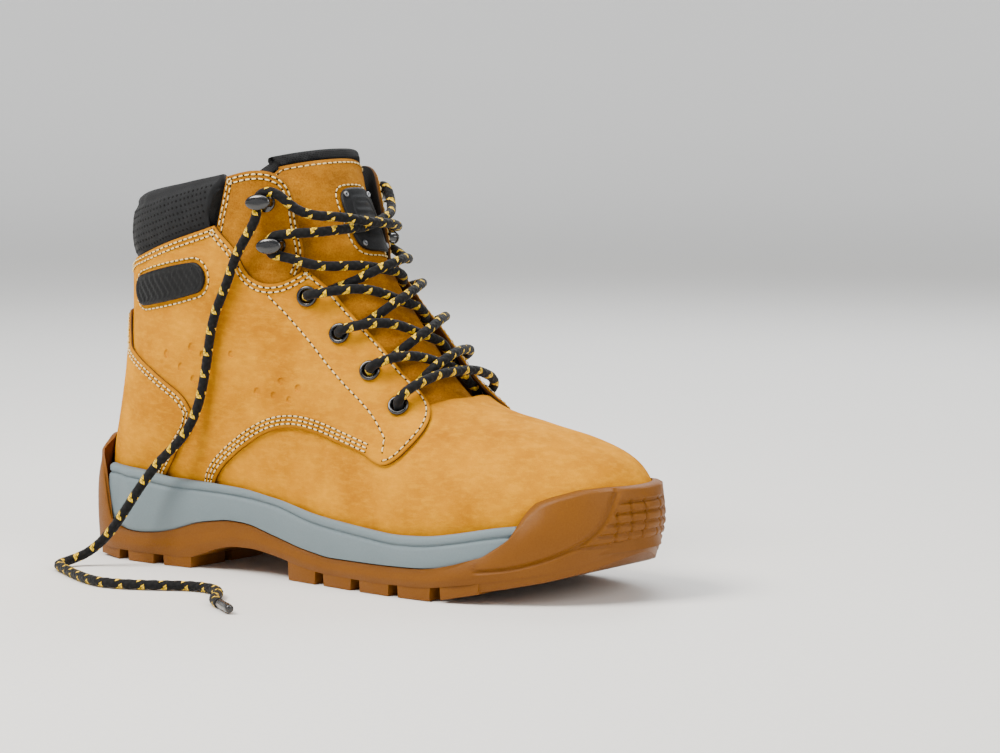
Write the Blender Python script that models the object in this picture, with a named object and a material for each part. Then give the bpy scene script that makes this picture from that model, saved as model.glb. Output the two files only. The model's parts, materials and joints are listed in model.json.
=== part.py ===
"""Steel toe work boot for the right foot, laced and standing on its sole.

The tables are in millimetres and the scene is in metres. +X points to the toe, -Y to the
outer side of the foot and +Z up. The upper is one base surface with every leather, foam and
lining piece held at its own distance from it, so the layers never touch.
"""

import math

import bpy
import numpy as np
from mathutils.geometry import delaunay_2d_cdt

MM = 0.001
CENTRE = np.array([7.5, 1.0, 0.0])  # moves the boot onto the middle of the frame

# The base surface: each row is one slanted section of the foot from toe tip to collar, as
# front/top (x, z), back/bottom (x, z), half width, middle y, height of the widest place
# (-1 back .. 1 front), roundness of the front, roundness of the back.
STATIONS = (
    ((141.5, 41.0), (141.5, 41.0), 0.5, 6.5, 0.0, 2.2, 2.2),
    ((139.5, 50.0), (139.0, 28.5), 12.5, 6.5, -0.2, 2.3, 3.0),
    ((134.5, 57.0), (134.0, 20.5), 21.5, 6.0, -0.25, 2.4, 3.5),
    ((127.0, 63.0), (125.0, 15.5), 30.0, 5.5, -0.3, 2.5, 4.0),
    ((114.0, 68.5), (111.0, 12.5), 38.5, 5.0, -0.35, 2.5, 4.5),
    ((94.0, 74.0), (89.0, 11.0), 46.0, 3.0, -0.4, 2.4, 5.0),
    ((71.0, 79.0), (60.0, 11.0), 50.0, 0.5, -0.4, 2.3, 5.0),
    ((52.0, 85.0), (27.0, 13.5), 48.5, -1.0, -0.4, 2.4, 5.0),
    ((36.0, 97.0), (-8.0, 17.0), 44.5, -1.0, -0.35, 2.7, 4.5),
    ((21.0, 114.0), (-50.0, 20.0), 42.0, -0.5, -0.25, 3.0, 4.0),
    ((7.0, 130.0), (-98.0, 21.0), 41.5, 0.0, -0.1, 3.1, 3.0),
    ((-4.0, 145.0), (-147.0, 25.0), 42.5, 0.0, 0.05, 3.2, 2.4),
    ((-12.0, 160.0), (-149.9, 56.0), 43.5, 0.0, 0.15, 3.3, 2.3),
    ((-18.0, 175.0), (-141.7, 98.0), 44.0, 0.0, 0.2, 3.4, 2.35),
    ((-22.0, 189.0), (-138.4, 134.0), 44.0, 0.0, 0.2, 3.5, 2.5),
    ((-25.5, 201.0), (-134.7, 166.0), 44.0, 0.0, 0.2, 3.5, 2.5),
    ((-28.0, 212.0), (-134.4, 196.0), 44.0, 0.0, 0.2, 3.5, 2.5),
)
ROWS = np.concatenate(([0.15, 0.5, 1, 1.5, 2, 2.5, 3], np.arange(3.7, 9.5, 0.7), np.arange(9.9, 12, 0.4),
                       [12.4, 13, 13.6, 14.2, 15.1, 16]))
COLUMNS = np.array([0, 0.07, 0.15, 0.25, 0.36, 0.48, 0.6, 0.71, 0.8, 0.87, 0.93, 0.97, 1.0])

# Distances of each layer's outer and inner face from the base surface.
QUARTER, UNDER, COUNTER = (0.0, -1.6), (-1.9, -3.5), (1.8, 0.3)
LINING, CAP, STIFFENER = (-3.8, -4.8), (-3.8, -5.4), (-1.9, -3.3)
TONGUE_LEATHER, TONGUE_FOAM, TONGUE_LINING = (0.0, -1.4), (-1.7, -6.0), (-6.3, -7.3)

# Outlines in side view, (x, z).
EYESTAY = (
    (-18.4, 141.4), (-8.9, 133.1), (0.5, 124.0), (10.4, 115.3), (20.3, 106.3), (28.8, 97.8),
    (37.7, 90.1), (45.4, 83.4), (49.0, 78.5), (49.9, 73.5), (46.4, 66.0), (38.5, 58.2), (34.5, 56.8),
)
QUARTER_CURVE = (
    (23.4, 60.1), (5.8, 64.8), (-11.2, 68.7), (-24.6, 69.2), (-36.9, 66.0), (-50.1, 58.6),
    (-63.3, 48.6), (-69.9, 40.2), (-71.0, 32.6),
)
QUARTER_FOOT = ((-86.0, 32.4), (-104.0, 32.8), (-122.0, 33.6), (-136.0, 34.6), (-150.0, 35.5))
QUARTER_TOP = (
    (-150.0, 139.0), (-123.5, 142.6), (-108.4, 146.8), (-92.2, 151.9), (-78.5, 155.8), (-64.7, 159.8),
    (-59.1, 154.4), (-53.3, 149.2), (-46.5, 139.0), (-37.7, 134.2), (-27.8, 135.5),
)
VAMP_TOP = (
    (45.0, 84.5), (38.0, 79.0), (30.0, 73.5), (22.0, 71.5), (6.0, 75.0), (-11.0, 79.0), (-27.0, 79.0),
    (-43.0, 75.0), (-58.0, 66.0), (-72.0, 53.0), (-80.0, 42.0), (-82.0, 32.8),
)
VAMP_FOOT = (
    (-60.0, 32.2), (-40.0, 30.5), (-22.0, 26.0), (-5.0, 23.2), (20.0, 21.2), (45.0, 19.8), (65.0, 20.3),
    (82.0, 23.0), (98.0, 25.6), (112.0, 27.0), (122.0, 28.0), (131.0, 30.0), (137.0, 33.5),
)
COUNTER_EDGE = (
    (-137.5, 117.5), (-133.0, 117.0), (-130.0, 110.0), (-126.0, 100.5), (-111.7, 94.1), (-92.0, 84.4),
    (-84.0, 79.0), (-79.8, 73.3), (-81.8, 66.0), (-87.8, 57.8), (-94.8, 48.6), (-102.0, 39.6), (-104.0, 33.2),
)
COUNTER_FOOT = ((-122.0, 34.0), (-136.0, 35.0), (-150.0, 36.0))
HOOK_PANEL = (
    (-58.8, 182.2), (-43.3, 185.3), (-33.0, 184.0), (-28.9, 181.0), (-25.5, 174.0), (-22.5, 160.0),
    (-20.0, 146.0), (-22.5, 137.0), (-30.0, 128.0), (-39.0, 125.5), (-50.0, 130.0), (-57.0, 141.0),
    (-66.5, 150.0), (-65.0, 158.0), (-63.0, 166.0), (-60.8, 174.0),
)
EYELETS = ((34.7, 82.3), (17.9, 96.9), (0.3, 112.7), (-17.0, 128.8))
HOOKS = ((-31.5, 151.5), (-36.5, 171.0))
LACE_RADIUS, AGLET_RADIUS, AGLET_LONG = 2.25, 2.0, 16.0
BADGE_LINE, BADGE_RADIUS = ((-112.0, 128.0), (-77.0, 135.3)), 7.3
# The free ends of the lace, from the upper hooks down the sides and along the floor.
LACE_END_OUTER = (
    (-38.3, -43.8, 169.8), (-38.9, -44.6, 164.5), (-41.2, -45.9, 158.6), (-44.6, -46.8, 153.0), (-49.0, -46.9, 146.0),
    (-54.6, -46.8, 134.0), (-62.5, -46.6, 118.0), (-67.0, -46.2, 100.0), (-70.8, -46.0, 84.0), (-75.5, -46.6, 71.0),
    (-82.5, -48.6, 60.0), (-90.8, -51.0, 51.5), (-98.2, -54.0, 42.0), (-104.6, -57.2, 31.6), (-111.4, -60.2, 20.6),
    (-119.0, -63.0, 11.4), (-126.5, -67.0, 5.2), (-130.2, -73.5, 2.8), (-128.6, -81.0, 2.3), (-120.5, -87.5, 2.3),
    (-107.0, -95.5, 2.3), (-92.0, -103.2, 2.3), (-76.0, -108.0, 2.3), (-61.0, -105.0, 2.3), (-46.0, -97.5, 2.3),
    (-33.0, -92.6, 2.3), (-20.5, -95.6, 2.3), (-11.5, -104.5, 2.3), (-5.0, -114.5, 2.3), (4.5, -122.0, 2.3),
)
LACE_END_INNER = (
    (-38.3, 43.8, 169.8), (-39.0, 44.8, 164.5), (-41.0, 46.2, 158.0), (-43.8, 47.1, 151.0), (-47.5, 47.2, 141.0),
    (-51.5, 47.0, 128.0), (-55.0, 46.7, 114.0), (-57.6, 46.3, 100.0), (-59.6, 46.0, 86.0), (-61.5, 46.4, 72.0),
    (-64.0, 48.4, 58.0), (-67.0, 51.6, 44.0), (-70.4, 55.4, 30.0), (-74.6, 59.6, 17.0), (-80.0, 64.6, 7.6),
    (-84.6, 71.8, 3.2), (-84.0, 80.5, 2.3), (-76.5, 88.0, 2.3), (-65.0, 92.5, 2.3), (-51.0, 93.0, 2.3),
    (-37.0, 89.0, 2.3), (-23.0, 84.5, 2.3), (-9.0, 84.5, 2.3), (4.0, 90.5, 2.3), (14.0, 100.5, 2.3),
    (20.0, 113.5, 2.3), (21.5, 128.0, 2.3), (17.0, 141.5, 2.3),
)
EYELET_HOLE, EYELET_BARREL, EYELET_FLANGE = 3.0, 3.6, 4.8

# The sole's outline, (x, outer y, inner y), and its heights along x.
PLAN = (
    (-161.0, -0.5, -0.5), (-160.0, -11.0, 10.0), (-157.0, -20.0, 19.0), (-151.5, -29.5, 28.0),
    (-142.0, -37.0, 35.0), (-125.0, -42.0, 39.5), (-98.0, -43.5, 41.0), (-60.0, -42.5, 39.0), (-30.0, -43.5, 39.5),
    (0.0, -48.0, 43.0), (30.0, -52.5, 48.0), (60.0, -55.0, 52.5), (85.0, -52.5, 52.5),
    (105.0, -44.5, 49.5), (122.0, -33.5, 42.0), (134.0, -21.5, 31.5), (141.5, -9.5, 20.5), (146.0, 5.5, 5.5),
)
SOLE_X = (
    -161, -160.3, -158.5, -155.5, -151, -146, -141.5, -137, -131, -122, -110, -96, -80, -64, -48, -32, -18, -4,
    12, 28, 44, 58, 70, 79, 87, 94, 99, 103, 106, 109, 113, 118, 124, 130, 135, 139.5, 143, 145.2, 146,
)
RIM = ((-161, 44.5), (-123, 43.4), (-104, 41.2), (-92, 40.8), (-66, 40.2), (-51, 39.3), (-31, 36.8),
       (-12, 32.2), (2, 30.5), (20, 29.1), (46, 27.1), (66, 27.8), (80, 29.9), (98, 33.2), (107, 34.1),
       (120, 35.0), (146, 38.0))
MIDSOLE_LOW = ((-161, 17.0), (-143, 16.2), (-130, 15.4), (-117, 14.2), (-102, 15.4), (-91, 17.8), (-79, 21.7),
               (-61, 24.2), (-47, 23.5), (-34, 20.0), (-14, 15.6), (5, 13.1), (40, 13.4), (64, 14.0),
               (80, 15.2), (100, 17.5), (120, 20.0), (146, 24.0))
RUBBER_TOP = ((-161, 57.0), (-157, 57.0), (-152, 55.0), (-147, 50.0), (-143, 43.0), (-140, 31.0), (-137, 21.0),
              (-133, 16.2), (-129, 0), (72, 0), (79, 17.1), (92.6, 20.9), (99, 25.5), (104, 29.5),
              (107, 34.3), (110.3, 38.9), (115.8, 44.2), (121.7, 46.8), (131.8, 50.0), (140, 51.0), (146, 51.0))
OUTSOLE_LOW = ((-161, 10.5), (-150, 7.0), (-138, 4.8), (-84, 4.5), (-78, 5.5), (-70, 9.0), (-58, 12.0),
               (-42, 12.2), (-25, 9.6), (-10, 6.5), (5, 5.4), (40, 5.0), (70, 5.8), (88, 8.5), (107, 11.5),
               (122, 14.5), (135, 18.0), (146, 25.0))
GROUND = ((-161, 6.0), (-150, 2.0), (-138, 0.0), (66, 0.0), (88, 4.3), (107, 7.4), (122, 10.5), (135, 14.5),
          (146, 21.0))
TONGUE_HINGE, FOOTBED_HINGE = (54.0, 0.0, 80.0), (128.0, 0.0, 29.5)
HEEL_LUGS, FRONT_LUGS = (-136.0, -113.0, -90.0), (-13.0, 10.5, 34.0, 57.5, 81.0, 103.0)


def spline(knots, values, at):
    """Natural cubic spline through the rows of values."""
    knots, values, at = (np.asarray(v, float) for v in (knots, values, at))
    flat = values.reshape(len(knots), -1)
    count, step = len(knots), np.diff(knots)
    system, right = np.eye(count), np.zeros_like(flat)
    for i in range(1, count - 1):
        system[i, i - 1 : i + 2] = step[i - 1], 2 * (step[i - 1] + step[i]), step[i]
        right[i] = 6 * ((flat[i + 1] - flat[i]) / step[i] - (flat[i] - flat[i - 1]) / step[i - 1])
    bend = np.linalg.solve(system, right)
    k = np.clip(np.searchsorted(knots, at, side="right") - 1, 0, count - 2)
    before, after, width = (at - knots[k])[:, None], (knots[k + 1] - at)[:, None], step[k][:, None]
    out = (bend[k] * after**3 + bend[k + 1] * before**3) / (6 * width)
    out += (flat[k] / width - bend[k] * width / 6) * after
    out += (flat[k + 1] / width - bend[k + 1] * width / 6) * before
    return out.reshape((len(at),) + values.shape[1:])


def level(table, x):
    table = np.asarray(table, float)
    return np.interp(x, table[:, 0], table[:, 1])


SHAPE = np.array([[*f, *g, *rest] for f, g, *rest in STATIONS], float)


def section(row, count=361):
    """Half of one section, from its front ridge to its back: p from 1 to -1, half width, arc fraction."""
    fx, fz, gx, gz, width, _, widest, front, back = row
    turn = np.linspace(0, math.pi, count)
    cos, sin = np.cos(turn), np.sin(turn)
    power = 2 / np.where(cos >= 0, front, back)
    q = np.sign(cos) * np.abs(cos) ** power
    p = np.where(q >= 0, widest + (1 - widest) * q, widest + (1 + widest) * q)
    y = max(width, 0.3) * np.abs(sin) ** power
    reach = math.hypot(fx - gx, fz - gz) / 2
    arc = np.concatenate(([0], np.cumsum(np.hypot(np.diff(p) * reach, np.diff(y)))))
    return p, y, arc / arc[-1]


def section_point(row, fraction, side):
    p, y, arc = section(row)
    p, y = np.interp(fraction, arc, p), np.interp(fraction, arc, y)
    x = row[0] * (1 + p) / 2 + row[2] * (1 - p) / 2
    z = row[1] * (1 + p) / 2 + row[3] * (1 - p) / 2
    return np.stack([x, row[5] + side * y, z], -1)


def surface_grid(rows, columns):
    """Points and outward normals over rows and signed columns, -1 (outer side back) to 1."""
    spots = np.concatenate((-columns[:0:-1], columns))
    shape = spline(np.arange(len(SHAPE)), SHAPE, rows)
    points = np.stack([section_point(r, np.abs(spots), np.where(spots < 0, -1.0, 1.0)) for r in shape])
    ring = np.concatenate((points[:, -2:-1], points, points[:, 1:2]), 1)
    across = ring[:, 2:] - ring[:, :-2]
    normals = np.cross(np.gradient(points, axis=0), across)
    normals /= np.maximum(np.linalg.norm(normals, axis=2, keepdims=True), 1e-9)
    middle = points.mean(1, keepdims=True)
    normals *= np.sign(((points - middle) * normals).sum((1, 2), keepdims=True))
    return spots, points, normals


SPOTS, POINTS, NORMALS = surface_grid(ROWS, COLUMNS)


def locate(s, u, distance=0.0):
    """The point and normal at arc fraction s and row u, on the facets this far from the base.

    The distance is a number, an array like s, or a rule of (s, u) held at the grid's corners.
    """
    s = np.mod(np.asarray(s, float) + 1, 2) - 1
    held = distance(*np.meshgrid(SPOTS, ROWS)) if callable(distance) else 0.0
    own = 0.0 if callable(distance) else distance
    s, u, own = np.broadcast_arrays(s, np.asarray(u, float), np.asarray(own, float))
    j = np.clip(np.searchsorted(SPOTS, s, side="right") - 1, 0, len(SPOTS) - 2)
    i = np.clip(np.searchsorted(ROWS, u, side="right") - 1, 0, len(ROWS) - 2)
    a = (s - SPOTS[j]) / (SPOTS[j + 1] - SPOTS[j])
    b = (u - ROWS[i]) / (ROWS[i + 1] - ROWS[i])
    # Each cell is cut along one diagonal, mirrored between the two sides of the boot.
    inner = SPOTS[j] >= 0
    start, end = np.where(inner, j + 1, j), np.where(inner, j, j + 1)
    a = np.where(inner, 1 - a, a)
    sizes = 1 - np.maximum(a, b), np.minimum(a, b), np.abs(a - b)
    corners = (i, start), (i + 1, end), (np.where(a > b, i, i + 1), np.where(a > b, end, start))
    held = np.broadcast_to(held, POINTS.shape[:2])
    out, normal = np.zeros(s.shape + (3,)), np.zeros(s.shape + (3,))
    for size, at in zip(sizes, corners):
        out += size[..., None] * (POINTS[at] + NORMALS[at] * (held[at] + own)[..., None])
        normal += size[..., None] * NORMALS[at]
    return out, normal / np.linalg.norm(normal, axis=-1, keepdims=True)


FINE = np.linspace(0, len(SHAPE) - 1, 481)
FINE_SHAPE = spline(np.arange(len(SHAPE)), SHAPE, FINE)


def chart(x, z, side=-1.0):
    """(s, u) of the base surface at (x, z) in side view."""
    front, back = FINE_SHAPE[:, 0:2], FINE_SHAPE[:, 2:4]
    along = front - back
    to = np.array([x, z]) - back
    cross = along[:, 0] * to[:, 1] - along[:, 1] * to[:, 0]
    p = 2 * (to * along).sum(1) / np.maximum((along**2).sum(1), 1e-9) - 1
    nearest = back + along * ((np.clip(p, -1, 1) + 1) / 2)[:, None]
    k = int(np.argmin(((nearest - (x, z)) ** 2).sum(1)))
    k = min(k if k + 1 < len(FINE) and cross[k] * cross[k + 1] <= 0 else max(k - 1, 0), len(FINE) - 2)
    t = cross[k] / (cross[k] - cross[k + 1]) if cross[k] * cross[k + 1] < 0 else 0.5
    u = FINE[k] + t * (FINE[k + 1] - FINE[k])
    row = FINE_SHAPE[k] * (1 - t) + FINE_SHAPE[k + 1] * t
    here = np.clip(p[k] * (1 - t) + p[k + 1] * t, -1, 1)
    ps, _, arc = section(row)
    return side * float(np.interp(-here, -ps, arc)), u


def side_path(points, side=-1.0):
    return [chart(x, z, side) for x, z in points]


def at_height(s, z, distance):
    """Point on column s at height z on the shaft, moved out by distance."""
    rows = np.linspace(9.0, 16.0, 57)
    heights = locate(np.full_like(rows, s), rows)[0][:, 2]
    return locate(s, np.interp(z, heights, rows), distance)[0]


def material(name, colour, metallic=0.0, roughness=0.7):
    made = bpy.data.materials.new(name)
    made.use_nodes = True
    shader = made.node_tree.nodes["Principled BSDF"]
    shader.inputs["Base Color"].default_value = (*colour, 1)
    shader.inputs["Metallic"].default_value = metallic
    shader.inputs["Roughness"].default_value = roughness
    return made


NUBUCK = (0.70, 0.36, 0.05)
SUEDE = (0.52, 0.24, 0.055)
BLACK_CLOTH = (0.022, 0.023, 0.025)


def body(name, points, faces, look, smooth=50):
    """One closed body from points in millimetres, faces turned outwards."""
    mesh = bpy.data.meshes.new(name)
    mesh.from_pydata([tuple((np.asarray(p) + CENTRE) * MM) for p in points], [], [tuple(f) for f in faces])
    corners = [[points[i] for i in f] for f in faces]
    volume = sum(np.dot(c[0], np.cross(c[k], c[k + 1])) for c in corners for k in range(1, len(c) - 1))
    if volume < 0:
        mesh.flip_normals()
    mesh.shade_smooth()
    mesh.set_sharp_from_angle(angle=math.radians(smooth))
    mesh.materials.append(material(name, *look))
    made = bpy.data.objects.new(name, mesh)
    bpy.context.scene.collection.objects.link(made)
    return made


def inside(polygon, spots):
    polygon, spots = np.asarray(polygon), np.asarray(spots)
    hit = np.zeros(len(spots), bool)
    for a, b in zip(polygon, np.roll(polygon, -1, 0)):
        crosses = (a[1] > spots[:, 1]) != (b[1] > spots[:, 1])
        with np.errstate(divide="ignore", invalid="ignore"):
            x = (b[0] - a[0]) * (spots[:, 1] - a[1]) / (b[1] - a[1]) + a[0]
        hit ^= crosses & (spots[:, 0] < x)
    return hit


SQUARE = np.array([120.0, 14.0])  # evens out the chart: millimetres per unit of s and of u


def triangulate(outline, holes=()):
    """(s, u) points and triangles inside the outline, cut along every facet of the base surface."""
    outline = np.asarray(outline) * SQUARE
    holes = [np.asarray(h) * SQUARE for h in holes]
    spots = np.concatenate((SPOTS[:-1] - 2, SPOTS, SPOTS[1:] + 2))
    low, high = outline.min(0) / SQUARE, outline.max(0) / SQUARE
    columns = spots[max(np.searchsorted(spots, low[0]) - 1, 0) : np.searchsorted(spots, high[0]) + 1]
    rows = ROWS[max(np.searchsorted(ROWS, low[1]) - 1, 0) : np.searchsorted(ROWS, high[1]) + 1]
    places = [(s, u) for u in rows for s in columns]
    wide = len(columns)
    edges = [(i * wide + j, i * wide + j + 1) for i in range(len(rows)) for j in range(wide - 1)]
    edges += [(i * wide + j, (i + 1) * wide + j) for i in range(len(rows) - 1) for j in range(wide)]
    for i in range(len(rows) - 1):
        for j in range(wide - 1):
            here, up = i * wide + j, (i + 1) * wide + j
            outer = (columns[j] + 1) % 2 - 1 < -1e-9
            edges.append((here, up + 1) if outer else (here + 1, up))
    places = [tuple(np.array(p) * SQUARE) for p in places]
    for loop in [outline, *holes]:
        start = len(places)
        places += [tuple(p) for p in loop]
        edges += [(start + k, start + (k + 1) % len(loop)) for k in range(len(loop))]
    verts, _, faces, _, _, _ = delaunay_2d_cdt(places, edges, [], 0, 1e-5)
    verts = np.array([tuple(v) for v in verts])
    faces = np.array(faces)
    middle = verts[faces].mean(1)
    keep = inside(outline, middle)
    for hole in holes:
        keep &= ~inside(hole, middle)
    faces = faces[keep]
    used, index = np.unique(faces, return_inverse=True)
    return verts[used] / SQUARE, index.reshape(faces.shape)


def sheet(name, outline, faces_at, look, holes=()):
    """A layer over an outline in (s, u); its outer and inner distances are numbers or rules of (s, u)."""
    spots, tris = triangulate(outline, holes)
    s, u = spots.T
    outer, inner = (locate(s, u, at)[0] for at in faces_at)
    count = len(outer)
    edges = {(t[k], t[(k + 1) % 3]) for t in tris for k in range(3)}
    faces = [tuple(t) for t in tris] + [tuple(t[::-1] + count) for t in tris]
    for a, b in edges:
        if (b, a) not in edges:
            faces += [(b, a, a + count), (b, a + count, b + count)]
    return body(name, np.concatenate((outer, inner)), faces, look)


def mirrored(path):
    return [(-s, u) for s, u in path]


def both_sides(path):
    """A path from ridge to foot on the outer side, carried on up the inner side."""
    return list(path) + mirrored(path)[::-1]


def around_heel(path):
    """A path on the outer side, open at the back, carried round the heel to the inner side."""
    return list(path) + [(-2 - s, u) for s, u in path[::-1]]


def frame_at(s, u, distance=0.0):
    """Origin, outward normal and the two directions along the surface, from +s and +u."""
    point, normal = locate(s, u, distance)
    along = locate(s, u + 0.15, distance)[0] - locate(s, u - 0.15, distance)[0]
    along -= normal * along.dot(normal)
    along /= np.linalg.norm(along)
    return point, normal, np.cross(along, normal), along


def round_hole(s, u, radius, count=12):
    """A circle of this radius on the surface, in (s, u)."""
    ds = (locate(s + 0.01, u)[0] - locate(s - 0.01, u)[0]) / 0.02
    du = (locate(s, u + 0.1)[0] - locate(s, u - 0.1)[0]) / 0.2
    measure = np.array([[ds @ ds, ds @ du], [ds @ du, du @ du]])
    grow = np.linalg.inv(np.linalg.cholesky(measure)).T
    turns = np.arange(count) * 2 * math.pi / count
    return [tuple(np.array([s, u]) + grow @ (radius * np.array([math.cos(t), math.sin(t)]))) for t in turns]


def rings(name, loops, look, closed=False, smooth=50):
    """A body lofted through loops of equal length; the ends are capped unless it closes on itself."""
    loops = [np.asarray(loop) for loop in loops]
    size = len(loops[0])
    pairs = range(len(loops) if closed else len(loops) - 1)
    faces = []
    for r in pairs:
        a, b = r * size, (r + 1) % len(loops) * size
        for k in range(size):
            n = (k + 1) % size
            faces.append((a + k, a + n, b + n, b + k))
    if not closed:
        faces += [tuple(range(size))[::-1], tuple(range((len(loops) - 1) * size, len(loops) * size))]
    return body(name, np.concatenate(loops), faces, look, smooth)


def turned(name, origin, axis, profile, look, count=14, start=None):
    """A closed profile of (radius, height) turned about an axis."""
    axis = np.asarray(axis) / np.linalg.norm(axis)
    start = np.cross(axis, [0.3, 0.2, 0.9] if start is None else start)
    start /= np.linalg.norm(start)
    other = np.cross(axis, start)
    loops = []
    for k in range(count):
        t = 2 * math.pi * k / count
        away = start * math.cos(t) + other * math.sin(t)
        loops.append([origin + away * r + axis * h for r, h in profile])
    return rings(name, loops, look, closed=True, smooth=40)


# ---- the sole ---------------------------------------------------------------------------

def plan_at(x):
    """Outer and inner y of the sole at x."""
    table = np.asarray(PLAN)
    low, high = table[0, 0], table[-1, 0]
    turn = np.arccos(1 - 2 * (table[:, 0] - low) / (high - low))
    spots = np.clip((np.asarray(x, float) - low) / (high - low), 0, 1)
    return spline(turn, table[:, 1:], np.arccos(1 - 2 * spots))


def station_loop(z, edges):
    """A loop round the foot through two edges, outer and inner, each rows of (x, y) from heel to toe."""
    x = np.asarray(SOLE_X, float)
    heel, toe = edges[0][0][0], edges[0][-1][0]
    spots = heel + (x - x[0]) / (x[-1] - x[0]) * (toe - heel)
    outer, inner = (np.interp(spots, e[:, 0], e[:, 1]) for e in edges)
    outer[[0, -1]] = (outer + inner)[[0, -1]] / 2
    z = np.broadcast_to(z, x.shape)
    inner_part = np.stack([spots, inner, z], 1)[-2:0:-1]
    return np.concatenate((np.stack([spots, outer, z], 1), inner_part))


def plan_loop(z, inset):
    """The sole's outline at height z (along x), drawn in by inset."""
    turn = np.linspace(0, math.pi, 600)
    x = PLAN[0][0] + (PLAN[-1][0] - PLAN[0][0]) * (1 - np.cos(turn)) / 2
    lines = plan_at(x)
    drawn = np.interp(x, SOLE_X, np.broadcast_to(inset, (len(SOLE_X),)))
    edges = []
    for k, turned_in in ((0, 1), (1, -1)):
        line = np.stack([x, lines[:, k]], 1)
        run = np.gradient(line, axis=0)
        run /= np.linalg.norm(run, axis=1, keepdims=True)
        line += np.stack([-run[:, 1], run[:, 0]], 1) * turned_in * drawn[:, None]
        edges.append(line[np.argsort(line[:, 0])])
    return station_loop(z, edges)


def upper_loop(z, out):
    """A loop at height z (along x), this far from the base surface along its normals."""
    x = np.asarray(SOLE_X, float)
    z, out = np.broadcast_to(z, x.shape), np.broadcast_to(out, x.shape)
    s, u = np.meshgrid(np.linspace(0, 1, 81), np.linspace(0.15, 13.5, 700))
    away = np.interp(locate(s, u)[0][..., 0], x, out)
    edges = []
    for side in (-1, 1):
        points = locate(side * s, u, away)[0]
        over = points[..., 2] - np.interp(points[..., 0], x, z)
        found = []
        for row, rise in zip(points, over):
            k = np.flatnonzero((rise[:-1] > 0) & (rise[1:] <= 0))
            if len(k):
                found.append(row[k[-1]] + (row[k[-1] + 1] - row[k[-1]]) * rise[k[-1]] / (rise[k[-1]] - rise[k[-1] + 1]))
        tips = []
        for line, rise in ((points[:, -1], over[:, -1]), (points[:, 0], over[:, 0])):
            k = np.flatnonzero(rise[:-1] * rise[1:] <= 0)
            tips += [line[i] + (line[i + 1] - line[i]) * rise[i] / (rise[i] - rise[i + 1]) for i in k]
        found = sorted(found + [min(tips, key=lambda p: p[0]), max(tips, key=lambda p: p[0])], key=lambda p: p[0])
        edges.append(np.array(found))
    return station_loop(z, edges)


def foot_body(name, loops, look, smooth=50):
    """Closes a stack of loops at both ends with strips across the foot."""
    size, half = len(loops[0]), len(SOLE_X)
    faces = []
    for r in range(len(loops) - 1):
        for k in range(size):
            n = (k + 1) % size
            faces.append((r * size + k, r * size + n, (r + 1) * size + n, (r + 1) * size + k))
    for base, turn in ((0, -1), ((len(loops) - 1) * size, 1)):
        strip = [(base, base + 1, base + size - 1)]
        for k in range(1, half - 2):
            strip.append((base + size - k, base + k, base + k + 1, base + size - k - 1))
        strip.append((base + half - 1, base + half, base + half - 2))
        faces += [f[::turn] for f in strip]
    made = body(name, np.concatenate(loops), faces, look, smooth)
    weld = made.modifiers.new("weld", "WELD")
    weld.merge_threshold = 0.0001
    return made


def hollow(made, space):
    """Cuts the space out of a body."""
    cut = made.modifiers.new("foot_space", "BOOLEAN")
    cut.operation, cut.solver, cut.object = "DIFFERENCE", "EXACT", space


def blend(x, start, end):
    t = np.clip((np.asarray(x, float) - start) / (end - start), 0, 1)
    return t * t * (3 - 2 * t)


# ---- what the file builds ----------------------------------------------------------------

for old in list(bpy.data.objects):
    bpy.data.objects.remove(old)

LEATHER_LOOK, SUEDE_LOOK = (NUBUCK, 0.0, 0.85), (SUEDE, 0.0, 0.95)
CLOTH_LOOK, FOAM_LOOK = (BLACK_CLOTH, 0.0, 0.9), ((0.35, 0.34, 0.3), 0.0, 0.95)
STEEL_LOOK = ((0.55, 0.56, 0.58), 1.0, 0.35)
ENAMEL_LOOK = ((0.012, 0.013, 0.017), 0.0, 0.25)
LACE_LOOK = ((0.02, 0.02, 0.022), 0.0, 0.9)


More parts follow.
